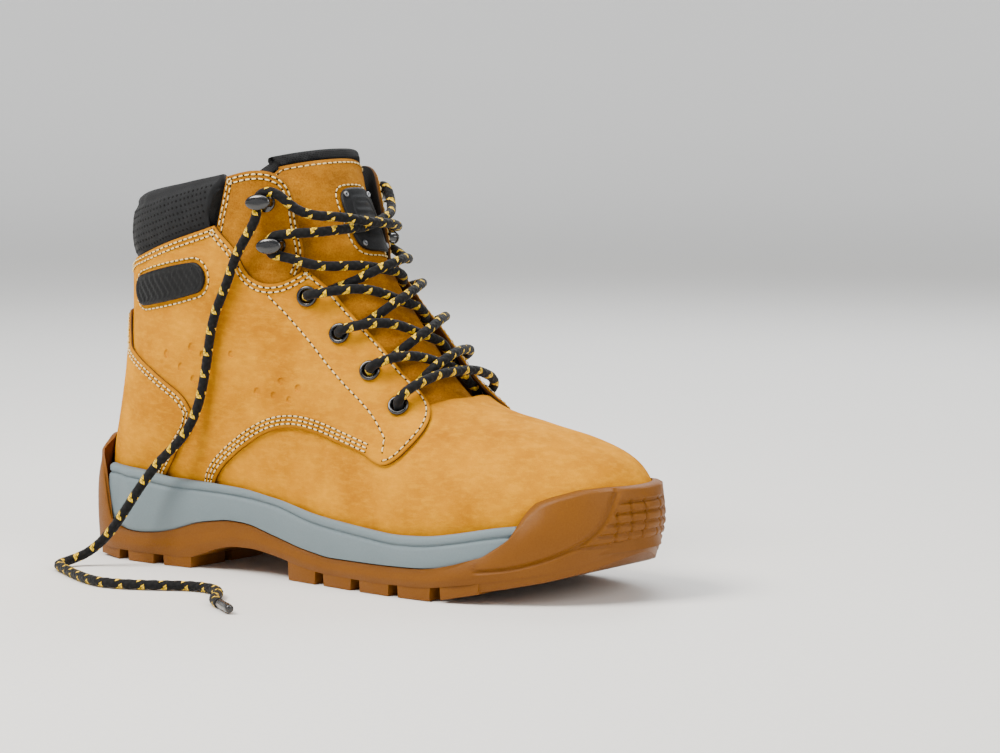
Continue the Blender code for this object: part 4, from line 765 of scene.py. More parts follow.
# ---- laces --------------------------------------------------------------------------------
LACE_RADIUS, AGLET_RADIUS, AGLET_LONG, LACE_INSIDE = 2.25, 2.0, 16.0, -4.7
LACE_END_OUTER = (
    (-38.3, -43.8, 169.8), (-38.9, -44.6, 164.5), (-41.2, -45.9, 158.6), (-44.6, -46.8, 153.0), (-49.0, -46.9, 146.0),
    (-54.6, -46.8, 134.0), (-62.5, -46.6, 118.0), (-67.0, -46.2, 100.0), (-70.8, -46.0, 84.0), (-75.5, -46.6, 71.0),
    (-82.5, -48.6, 60.0), (-90.8, -51.0, 51.5), (-98.2, -54.0, 42.0), (-104.6, -57.2, 31.6), (-111.4, -60.2, 20.6),
    (-119.0, -63.0, 11.4), (-126.5, -67.0, 5.2), (-130.2, -73.5, 2.8), (-128.6, -81.0, 2.3), (-120.5, -87.5, 2.3),
    (-107.0, -95.5, 2.3), (-92.0, -103.2, 2.3), (-76.0, -108.0, 2.3), (-61.0, -105.0, 2.3), (-46.0, -97.5, 2.3),
    (-33.0, -92.6, 2.3), (-20.5, -95.6, 2.3), (-11.5, -104.5, 2.3), (-5.0, -114.5, 2.3), (4.5, -122.0, 2.3),
)
LACE_END_INNER = (
    (-38.3, 43.8, 169.8), (-39.0, 44.8, 164.5), (-41.0, 46.2, 158.0), (-43.8, 47.1, 151.0), (-47.5, 47.2, 141.0),
    (-51.5, 47.0, 128.0), (-55.0, 46.7, 114.0), (-57.6, 46.3, 100.0), (-59.6, 46.0, 86.0), (-61.5, 46.4, 72.0),
    (-64.0, 48.4, 58.0), (-67.0, 51.6, 44.0), (-70.4, 55.4, 30.0), (-74.6, 59.6, 17.0), (-80.0, 64.6, 7.6),
    (-84.6, 71.8, 3.2), (-84.0, 80.5, 2.3), (-76.5, 88.0, 2.3), (-65.0, 92.5, 2.3), (-51.0, 93.0, 2.3),
    (-37.0, 89.0, 2.3), (-23.0, 84.5, 2.3), (-9.0, 84.5, 2.3), (4.0, 90.5, 2.3), (14.0, 100.5, 2.3),
    (20.0, 113.5, 2.3), (21.5, 128.0, 2.3), (17.0, 141.5, 2.3),
)


def tongue_rise(s, u):
    """Distance of the tongue's leather: sunk under the lace holes, crowned between them, leaning back on top."""
    crown = np.cos(np.clip(np.abs(s) / 0.19, 0, 1) * math.pi / 2) ** 2
    lean = np.clip((u - 12.0) / 2.2, 0, 1.2) ** 2 * (7.0 - 30.0 * np.clip(s, -0.2, 0.2))
    return -8.1 + 4.2 * crown - lean


def tongue_layer(distance):
    return lambda s, u: tongue_rise(s, u) + distance


def frame_at(s, u, distance=0.0):
    """Origin, outward normal and the two directions along the surface, from +s and +u."""
    point, normal = locate(s, u, distance)
    along = locate(s, u + 0.15, distance)[0] - locate(s, u - 0.15, distance)[0]
    along = unit(along - normal * along.dot(normal))
    return point, normal, np.cross(along, normal), along


def smooth_path(points, most):
    """Points along the spline through a route, at most this far apart."""
    points = np.asarray(points, float)
    knots = np.concatenate(([0], np.cumsum(np.linalg.norm(np.diff(points, axis=0), axis=1))))
    at = [np.linspace(a, b, max(math.ceil((b - a) / most), 1), endpoint=False) for a, b in zip(knots, knots[1:])]
    return spline(knots, points, np.concatenate((*at, knots[-1:])))


def braided(name, path, replaces):
    """A round braided lace along a path, its strands standing a little proud."""
    runs = unit(np.gradient(path, axis=0))
    far = np.concatenate(([0], np.cumsum(np.linalg.norm(np.diff(path, axis=0), axis=1))))
    start, loops = np.cross(runs[0], (0.31, 0.2, 0.93)), []
    turns = np.linspace(0, 2 * math.pi, 16, endpoint=False)
    for point, run, at in zip(path, runs, far):
        start = unit(start - run * start.dot(run))
        other = np.cross(run, start)
        weave = np.maximum(np.cos(4 * turns + at * 1.1), np.cos(4 * turns - at * 1.1))
        radius = LACE_RADIUS * (0.95 + 0.06 * weave)
        loops.append(point + radius[:, None] * (np.cos(turns)[:, None] * start + np.sin(turns)[:, None] * other))
    return lofted(name, loops, LACE, "shell", uv_scale=(1.0, MM), replaces=replaces, slot="lace_braid")


def through(x, z, side, outside, within):
    """Lace points down one eyelet, coming over from the point outside and leaving for the one within."""
    point, normal = locate(*chart(x, z, side))
    lead, leave = (unit(p - point - normal * normal.dot(p - point)) for p in (outside, within))
    down = [point + normal * h + lead * d for d, h in ((6.2, 4.4), (3.0, 4.3), (0.9, 2.9), (0.1, 0.8))]
    return down + [point + normal * h + leave * d for d, h in ((0.0, -1.3), (0.5, -3.2), (2.7, -4.8), (5.5, -4.75))]


def crossing(start, end, stops, low=0.0):
    """Points between two spots in (s, u), at these shares of the way and distances, clear of the tongue."""
    route = []
    for share, distance in stops:
        s, u = np.array(start) * (1 - share) + np.array(end) * share
        u -= low * 4 * share * (1 - share)
        route.append(locate(s, u, max(distance, float(tongue_rise(s, u)) + LACE_RADIUS + 0.9))[0])
    return route


def hook_wrap(index, side, turns):
    """Lace points round one hook's stem; 0 degrees is its rear and 90 its top."""
    point, normal, across, up = frame_at(*chart(*HOOKS[index], side), UNDER[0] + 0.75)
    rear = across * (1 if across.dot((-1, 0, 0)) > 0 else -1)
    stem = point + normal * 3.5 - rear * 2
    return [stem + 4.75 * (rear * math.cos(math.radians(t)) + up * math.sin(math.radians(t))) for t in turns]


def lace_half(side):
    """From inside the lowest eyelet of one side, zigzag up to the upper hook."""
    route, spots = [], [[chart(x, z, w) for x, z in EYELETS + HOOKS] for w in (-1.0, 1.0)]
    spans = []
    here = 0 if side < 0 else 1
    for k in range(3):
        middle, rise, fall = (3.75, 1.2, 4.0) if here == 0 else (-1.2, -2.3, 0.9)
        spans.append(crossing(spots[here][k], spots[1 - here][k + 1],
                              ((0.19, LACE_INSIDE), (0.27, -3.45 if here else -3.0), (0.38, rise), (0.5, middle),
                               (0.64, fall), (0.79, 3.3)), (0.1, 0.35, 0.5)[k]))
        here = 1 - here
    there = 1 - here
    lift = 4.9 if here == 0 else 0.0
    s, u = spots[there][4]
    spans.append(crossing(spots[here][3], (s, u - 0.3),
                          ((0.12, LACE_INSIDE), (0.24, -2.6), (0.36, -0.2 + lift * 0.6), (0.46, 0.7 + lift),
                           (0.6, 0.6 + lift * 0.8), (0.8, 1.6 + lift * 0.2)), 0.7))
    start, end = spots[there][4], spots[here][5]
    upper = crossing((start[0], start[1] + 0.3), (end[0], end[1] + 0.25),
                     ((0.18, 1.8 + lift * 0.1), (0.34, 1.0 + lift * 0.7), (0.5, 0.6 + lift), (0.66, 1.0 + lift * 0.7),
                      (0.84, 1.8 + lift * 0.1)), 1.15)
    side_of = [side * (-1) ** k for k in range(6)]
    for k in range(4):
        outside = spans[k - 1][-1] if k else locate(0.0, spots[0][0][1])[0]
        route += through(*EYELETS[k], side_of[k], outside, spans[k][0]) + list(spans[k])
    route += hook_wrap(0, side_of[4], (-95, -50, 0, 50, 95)) + list(upper)
    return route + hook_wrap(1, side_of[5], (95, 60, 25, -5))


def add_laces():
    for word, route in (("outer", LACE_END_OUTER), ("inner", LACE_END_INNER)):
        path = smooth_path(route, 0.9)
        run = unit(path[-1] - path[-2])
        start = unit(np.cross(run, (0.0, 0.0, 1.0)))
        other = np.cross(run, start)
        turns = np.linspace(0, 2 * math.pi, 20, endpoint=False)
        loops = []
        for share, size in ((0, 0.7), (0.02, 0.86), (0.06, 0.98), (0.1, 0.9), (0.14, 0.99), (0.8, 1.0), (0.93, 0.95),
                            (0.98, 0.82), (1.0, 0.6)):
            middle = path[-1] + run * (0.3 + AGLET_LONG * share)
            loops.append(middle + AGLET_RADIUS * size
                         * (np.cos(turns)[:, None] * start + np.sin(turns)[:, None] * other))
        aglet = lofted("lace_tip_" + word, loops, AGLET, "shell", replaces="aglet_" + word, slot="aglet_plastic")
        piece = braided("lace_free_" + word, path, "lace_end_" + word)
        spots = (smooth_path(route, 4.0) + CENTRE) * MM
    outer, inner = lace_half(-1.0), lace_half(1.0)
    low = chart(*EYELETS[0])
    bar = crossing(low, (-low[0], low[1]), ((0.19, 3.9), (0.35, 3.5), (0.5, 3.2), (0.65, 3.5), (0.81, 3.9)))
    braided("lacing", smooth_path(outer[::-1] + bar + inner, 0.9), "lace")


add_laces()

# ---- stitching ----------------------------------------------------------------------------
SEWN = {"shell": ([], [], [], []), "tongue": ([], [], [], [])}
# Height over the leather and radius of the thread at seven places along one stitch.
STITCH = ((-0.35, 0.18), (0.02, 0.31), (0.17, 0.37), (0.21, 0.39), (0.17, 0.37), (0.02, 0.31), (-0.35, 0.18))
THREAD_SIDES, HOLE_SIDES, NEEDLE_HOLE_RADIUS = 6, 8, 0.42


def stitched(path, distance, body="shell", side=-1.0, rows=(0.0,), pitch=3.3, long=2.5, keep=None, closed=False):
    """Rows of stitches beside a path in (s, u); a row's offset is to the path's right in side view."""
    thread, thread_faces, holes, hole_faces = SEWN[body]
    for offset in rows:
        line = sampled(path, 1.0, closed)
        if offset:
            line = shifted(line, offset * side, closed)
        if closed:
            line = np.concatenate((line, line[:1]))
        points, normals = locate(line[:, 0], line[:, 1], distance)
        far = np.concatenate(([0], np.cumsum(np.linalg.norm(np.diff(points, axis=0), axis=1))))
        count = max(int(far[-1] / pitch), 1)
        for k in range(count):
            centre = (k + 0.5) * far[-1] / count
            at = [centre + t * long / 2 for t in (-1.0, -0.82, -0.45, 0.0, 0.45, 0.82, 1.0)]
            spots = np.stack([np.interp(at, far, points[:, i]) for i in range(3)], 1)
            normal = unit(np.stack([np.interp(at, far, normals[:, i]) for i in range(3)], 1))
            if keep is not None and not keep(spots[3]):
                continue
            run = unit(spots[-1] - spots[0])
            for m, (lift, size) in enumerate(STITCH):
                across = np.cross(run, normal[m])
                base = spots[m] + normal[m] * lift
                thread += [base + size * (across * math.cos(t) + normal[m] * 0.85 * math.sin(t))
                           for t in np.arange(THREAD_SIDES) * math.pi / 3]
            first, last = len(thread) - THREAD_SIDES * len(STITCH), len(thread) - THREAD_SIDES
            for ring in range(first, last, THREAD_SIDES):
                for n in range(THREAD_SIDES):
                    a, b = ring + n, ring + (n + 1) % THREAD_SIDES
                    thread_faces.append((a, b, b + THREAD_SIDES, a + THREAD_SIDES))
            thread_faces.append(tuple(first + n for n in reversed(range(THREAD_SIDES))))
            thread_faces.append(tuple(last + n for n in range(THREAD_SIDES)))
            # Each needle hole is a small dark cone on the leather: painted shade in the hole.
            for m, way in ((0, -1), (len(STITCH) - 1, 1)):
                middle = spots[m] + run * way * 0.22
                across = np.cross(run, normal[m])
                start = len(holes)
                holes += [middle + NEEDLE_HOLE_RADIUS * (across * math.cos(t) + run * math.sin(t)) + normal[m] * 0.03
                          for t in np.arange(HOLE_SIDES) * math.pi / 4]
                holes += [middle + normal[m] * 0.06, middle - normal[m] * 0.25]
                for n in range(HOLE_SIDES):
                    a, b = start + n, start + (n + 1) % HOLE_SIDES
                    hole_faces += [(a, b, start + HOLE_SIDES), (b, a, start + HOLE_SIDES + 1)]


def add_stitching():
    for body, (thread, thread_faces, holes, hole_faces) in SEWN.items():
        made("stitching_" + body, thread, thread_faces, THREAD, body, slot="nubuck")
        made("needle_holes_" + body, holes, hole_faces, HOLE, body, slot="nubuck")


# ---- the upper's layers -------------------------------------------------------------------
def bumps(scale, size, seed):
    """Soft wrinkles of this wavelength and height in millimetres."""
    shift = Vector((seed * 7.1, seed * 3.3, seed * 5.7))
    return lambda points: np.array([field.noise(Vector(p) / scale + shift) for p in points]) * size


def creases(lines, side=None):
    """Shallow folds along paths in side view: (points, width, depth)."""
    found = []
    for points, width, depth in lines:
        for w in (-1.0, 1.0) if side is None else (side,):
            path = sampled(side_path(points, w), 2.0)
            found.append((locate(path[:, 0], path[:, 1])[0], width, depth))
    def relief(points):
        out = np.zeros(len(points))
        for line, width, depth in found:
            near = np.array([np.min(((line - p) ** 2).sum(1)) for p in points])
            far = np.array([np.argmin(((line - p) ** 2).sum(1)) for p in points]) / (len(line) - 1)
            out -= depth * np.exp(-near / width**2) * np.sin(math.pi * np.clip(far, 0.02, 0.98)) ** 0.5
            out += 0.45 * depth * np.exp(-near / (2.2 * width) ** 2)
        return out
    return relief


def round_hole(s, u, radius, count=24):
    """A circle of this radius on the surface, in (s, u)."""
    turns = np.arange(count) * 2 * math.pi / count
    _, _, across, up = frame_at(s, u)
    move = radius * (np.cos(turns)[:, None] * across + np.sin(turns)[:, None] * up)
    ds, du = to_chart(np.full(count, s), np.full(count, u), move)
    return [tuple(p) for p in np.stack([s + ds, u + du], 1)]


QUARTER_FOLDS = (
    (((-70.0, 81.0), (-58.0, 86.0), (-45.0, 93.0), (-30.0, 101.0)), 2.4, 0.5),
    (((-118.0, 118.0), (-103.0, 112.0), (-86.0, 109.0), (-66.0, 111.0)), 3.2, 0.45),
    (((-60.0, 70.0), (-48.0, 76.0), (-36.0, 78.5)), 2.6, 0.4),
    (((-76.0, 124.0), (-60.0, 118.0), (-46.0, 117.0)), 3.0, 0.4),
)
VAMP_FOLDS = (
    (((33.0, 58.0), (44.0, 50.0), (50.0, 40.0), (50.0, 30.0)), 3.2, 0.55),
    (((52.0, 66.0), (62.0, 56.0), (66.0, 44.0), (64.0, 33.0)), 3.0, 0.5),
    (((16.0, 54.0), (28.0, 46.0), (33.0, 36.0)), 2.8, 0.4),
    (((-30.0, 58.0), (-16.0, 52.0), (-4.0, 42.0)), 3.0, 0.4),
)


EYESTAY_SEAM = (
    (-35.5, 129.0), (-29.0, 123.0), (-23.4, 117.8), (-7.4, 102.9), (9.8, 88.6), (25.3, 76.6),
    (33.0, 68.5), (33.5, 62.0),
)
# The hook panel's stitches show only above the quarter's top edge.
QUARTER_LINE = ((-150, 139), (-64.7, 160.5), (-59, 155), (-53.3, 150), (-46.5, 140), (-37.7, 135), (-20, 137))


def add_upper():
    wave, ripple = bumps(17.0, 0.42, 1), bumps(6.5, 0.16, 2)
    half = [(0.0, 7.15)] + side_path(VAMP_TOP) + side_path(VAMP_FOOT) + [(chart(140.3, 38.5)[0], 0.3)]
    folds = creases(VAMP_FOLDS)
    def vamp_relief(s, u, points):
        calm = blend(points[:, 0], 118, 88)
        return calm * (wave(points) + ripple(points) + folds(points)) - 0.25
    panel("vamp_leather", both_sides(half), UNDER, (NUBUCK, CUT, FLESH), replaces="vamp", slot="nubuck",
          relief=vamp_relief)
    dents = [locate(*chart(x, z, w))[0] for x, z in EMBOSSED for w in (-1.0, 1.0)]
    for side, word in ((-1.0, "outer"), (1.0, "inner")):
        outline = side_path(EYESTAY + QUARTER_CURVE + QUARTER_FOOT + QUARTER_TOP, side)
        heel = len(EYESTAY + QUARTER_CURVE + QUARTER_FOOT) - 1
        outline = [(side * (0.9975 if k in (heel, heel + 1) else min(abs(s), 0.9975)), u)
                   for k, (s, u) in enumerate(outline)]
        holes = [round_hole(*chart(x, z, side), 4.0) for x, z in EYELETS]
        folds = creases(QUARTER_FOLDS, side)
        def quarter_relief(s, u, points):
            out = 0.8 * wave(points) + ripple(points) + folds(points) - 0.25
            for spot in dents:
                near = ((points - spot) ** 2).sum(1)
                out = np.where(near < DENT_RADIUS**2, out - DENT_DEPTH, out)
            return out
        panel("quarter_leather_" + word, outline, QUARTER, (NUBUCK, CUT, FLESH), replaces="quarter_" + word,
              slot="nubuck",
              holes=holes, relief=quarter_relief, dents=[chart(x, z, side) for x, z in EMBOSSED])
        panel("hook_stay_" + word, side_path(HOOK_PANEL, side), UNDER, (SUEDE, CUT, MESH),
              replaces="hook_panel_" + word,
              slot="suede", relief=lambda s, u, points: 0.5 * ripple(points) - 0.1)
        stitched(side_path(QUARTER_CURVE, side), 0.0, side=side, rows=(1.8, 3.6, 5.4))
        stitched(side_path(QUARTER_TOP[:6], side), 0.0, side=side, rows=(1.8, 3.9))
        stitched(side_path(QUARTER_TOP[5:] + EYESTAY[:1], side), 0.0, side=side, rows=(1.8, 3.9))
        stitched(side_path(EYESTAY, side), 0.0, side=side, rows=(2.0,))
        stitched(side_path(EYESTAY_SEAM, side), 0.0, side=side)
        rear, front = HOOK_PANEL[12:] + HOOK_PANEL[:1], HOOK_PANEL[:8]
        quarter_line = lambda p: p[2] > level(QUARTER_LINE, p[0])
        stitched(side_path(rear, side), UNDER[0], side=side, rows=(1.7, 3.7), keep=quarter_line)
        stitched(side_path(front, side), UNDER[0], side=side, rows=(1.7, 3.7), keep=quarter_line)
    half = [(s, u) for s, u in side_path(COUNTER_EDGE + COUNTER_FOOT) if s > -0.999]
    panel("heel_counter", around_heel(half), COUNTER, (NUBUCK, CUT), replaces="heel_cover", slot="nubuck",
          relief=lambda s, u, points: 0.6 * wave(points) + ripple(points) - 0.25)
    edge = [(s, u) for s, u in side_path(COUNTER_EDGE[1:]) if s > -0.999]
    line = list(edge[::-1]) + [(-2 - s, u) for s, u in edge]
    stitched(line, COUNTER[0], rows=(-1.8, -3.8))


# ---- the tongue ---------------------------------------------------------------------------
TONGUE = ((6.75, 0.17), (7.2, 0.29), (8.0, 0.33), (9.0, 0.33), (10.0, 0.33), (11.0, 0.31), (12.0, 0.3),
          (13.0, 0.29), (13.6, 0.27))


def tongue_spread(s, u):
    """How much wider the tongue's outer side is near its top."""
    return 0.2 * blend(u, 12.4, 14.2) * (np.asarray(s) < 0)


def tongue_outline(top, rounding, inset=0.0):
    half = [(s - inset, u) for u, s in TONGUE] + [(r, top - d) for r, d in rounding]
    side = [(-s - float(tongue_spread(-s, u)), u) for s, u in half]
    return side + half[::-1]


def tongue_roll(s, u, outer=True):
    """The lining's faces: it comes up round the leather's top edge in a soft roll that closes at its own edge."""
    wide = np.abs(s) - tongue_spread(s, u)
    past = u - np.interp(wide, (0.1, 0.19, 0.24, 0.27), (14.3, 14.22, 14.0, 13.6))
    rolled = blend(past, -0.04, 0.16)
    near = np.minimum((14.78 - u) * 13.0, (0.288 - wide) * 110.0)
    closing = 3.2 * (1 - np.sqrt(1 - np.clip(1 - near / 4.2, 0, 1) ** 2)) * rolled
    return tongue_rise(s, u) + (-6.3 + 6.6 * rolled - closing if outer else -7.5 + closing)


def add_tongue():
    ripple, wave = bumps(7.0, 0.22, 5), bumps(19.0, 0.5, 6)
    leather = tongue_outline(14.3, ((0.24, 0.3), (0.19, 0.08), (0.1, 0.0)))
    front = panel("tongue_front", leather, [tongue_layer(d) for d in (0.0, -1.4)], (SUEDE, CUT), "tongue",
                  "tongue_leather",
                  "suede", relief=lambda s, u, points: ripple(points) + wave(points) - 0.3)
    foam = tongue_outline(13.8, ((0.23, 0.2), (0.18, 0.0)), 0.015)
    panel("tongue_filling", foam, [tongue_layer(d) for d in (-1.7, -6.0)], (FOAM,), "tongue", "tongue_foam",
          "padding")
    cloth = tongue_outline(14.75, ((0.285, 0.9), (0.275, 0.6), (0.25, 0.3), (0.21, 0.1), (0.16, 0.02), (0.1, 0.0)))
    roll = panel("tongue_roll", cloth, [tongue_roll, lambda s, u: tongue_roll(s, u, False)], (MESH,),
                 "tongue", "tongue_lining", "lining_cloth")
    turns = np.linspace(0, 2 * math.pi, 48, endpoint=False)
    plate = lambda grow: [(0.045 + (0.07 + grow / 150) * (abs(math.cos(t)) ** 0.5) * np.sign(math.cos(t)),
                           12.25 + (0.95 + grow / 15) * (abs(math.sin(t)) ** 0.5) * np.sign(math.sin(t)))
                          for t in turns]
    def badge_relief(s, u, points):
        a, b = (s - 0.045) / 0.07, (u - 12.25) / 0.95
        far = (np.abs(a) ** 4 + np.abs(b) ** 4) ** 0.25
        frame = np.clip(1 - np.abs(far - 0.66) / 0.06, 0, 1)
        ribs = np.where(far < 0.5, 0.25 * (np.cos(b * 26) > 0), 0)
        return 0.35 * frame + ribs
    panel("tongue_badge_plate", plate(0), [tongue_layer(1.9), tongue_layer(0.6)], (BADGE, BADGE), "tongue",
          "tongue_badge",
          "black_rubber", relief=badge_relief, step=0.8)
    for a in (-0.72, 0.72):
        for b in (-0.78, 0.78):
            point, normal, _, _ = frame_at(0.045 + 0.07 * a, 12.25 + 0.95 * b, tongue_layer(1.9))
            turned("tongue_rivet", point, normal,
                   ((0.55, 0.0), (0.6, 0.4), (0.85, 0.62), (1.15, 0.62), (1.4, 0.4), (1.45, 0.0),
                    (1.45, -0.6), (0.55, -0.6)),
                   STEEL, "tongue", 20, slot="plate_steel")
    stitched(plate(1.6)[::-1], tongue_layer(0.0), "tongue", closed=True)
    edge = [(s, u) for s, u in tongue_outline(14.3, ((0.24, 0.3), (0.19, 0.08), (0.1, 0.0)))[6:-6]]
    stitched(edge, tongue_layer(0.0), "tongue", rows=(2.2,))


# ---- turned and lofted hardware -----------------------------------------------------------
def turned(name, origin, axis, profile, looks, body, count=28, **more):
    """A closed profile of (radius, height) turned about an axis."""
    axis = unit(axis)
    start = unit(np.cross(axis, [0.3, 0.2, 0.9]))
    other = np.cross(axis, start)
    loops = [[origin + (start * math.cos(t) + other * math.sin(t)) * r + axis * h for r, h in profile]
             for t in np.arange(count) * 2 * math.pi / count]
    return lofted(name, loops, looks, body, closed=True, sharp=40, **more)


# One hook from its foot to its cap: height, shift to the rear, half length, half width.
HOOK_RINGS = (
    (-0.2, 0, 4.2, 4.2), (0.0, 0, 4.5, 4.5), (0.6, 0, 4.5, 4.5), (0.9, -0.4, 3.9, 3.9), (1.0, -2, 2.4, 2.4),
    (1.4, -2, 2.1, 2.1), (5.6, -2, 2.1, 2.1), (6.0, -1.6, 2.6, 2.3), (6.15, 1.3, 5.4, 3.1), (6.5, 1.5, 5.95, 3.55),
    (7.0, 1.5, 6.0, 3.6), (7.5, 1.5, 5.7, 3.3), (7.9, 1.5, 4.8, 2.7), (8.15, 1.5, 3.3, 1.8), (8.2, 1.5, 1.2, 0.6),
)


def add_hardware():
    h = 0.6
    lip = [(3.9 + 0.95 * math.cos(t), h + 0.95 * math.sin(t)) for t in np.radians((150, 120, 90, 60, 30, 0))]
    ring = [(3.0, -2.2), (3.0, h), *lip, (4.7, h - 0.35), (3.6, h - 0.35), (3.6, -2.2)]
    for side, word in ((-1.0, "outer"), (1.0, "inner")):
        for k, (x, z) in enumerate(EYELETS):
            point, normal, _, _ = frame_at(*chart(x, z, side))
            turned(f"ring_{word}_{k + 1}", point, normal, ring, ENAMEL, "shell", 36,
                   replaces=f"eyelet_{word}_{k + 1}", slot="black_enamel")
        for k, (x, z) in enumerate(HOOKS):
            point, normal, across, up = frame_at(*chart(x, z, side), UNDER[0] + 0.75)
            rear = across * (1 if across.dot((-1, 0, 0)) > 0 else -1)
            turns = np.linspace(0, 2 * math.pi, 32, endpoint=False)
            loops = [point + normal * rise + rear * (shift + long * np.cos(turns)[:, None])
                     + up * (wide * np.sin(turns)[:, None])
                     for rise, shift, long, wide in HOOK_RINGS]
            lofted(f"hook_{word}_{k + 1}", loops, ENAMEL, "shell", sharp=50,
                   replaces=f"lace_hook_{word}_{k + 1}", slot="black_enamel")
    (x0, z0), (x1, z1) = (-112.0, 128.0), (-77.0, 135.3)
    along = unit([x1 - x0, z1 - z0])
    up = np.array([-along[1], along[0]])
    def capsule(radius):
        return [np.array([x, z]) + radius * (along * math.cos(math.radians(t)) + up * math.sin(math.radians(t)))
                for (x, z), turns in (((x1, z1), range(-90, 91, 12)), ((x0, z0), range(90, 271, 12))) for t in turns]
    def relief(s, u, points):
        flat = points[:, [0, 2]] - (x0, z0)
        t, w = flat @ along, flat @ up
        out = np.hypot(t - np.clip(t, 0, math.hypot(x1 - x0, z1 - z0)), w)
        rim = 0.5 * blend(out, 5.3, 5.8)
        ribs = 0.45 * blend(np.sin((t + w * 0.6) * 1.5), -0.3, 0.5) * blend(out, 4.9, 4.2)
        return rim + ribs - 0.3
    panel("side_badge_plate", side_path(capsule(7.3)), (1.6, 0.4), (BADGE, BADGE), replaces="side_badge",
          slot="black_rubber",
          relief=relief, step=0.7)
    stitched(side_path(capsule(9.2)), 0.0, side=1.0, closed=True)


# ---- the collar ---------------------------------------------------------------------------
# Points round one section of the pad, on its outside and inside, and the pad's length round the ankle.
PAD_OUT, PAD_IN, PAD_LENGTH = 46, 26, 235.0
PUNCH_PITCH, PUNCH_SIDES = 3.2, 8


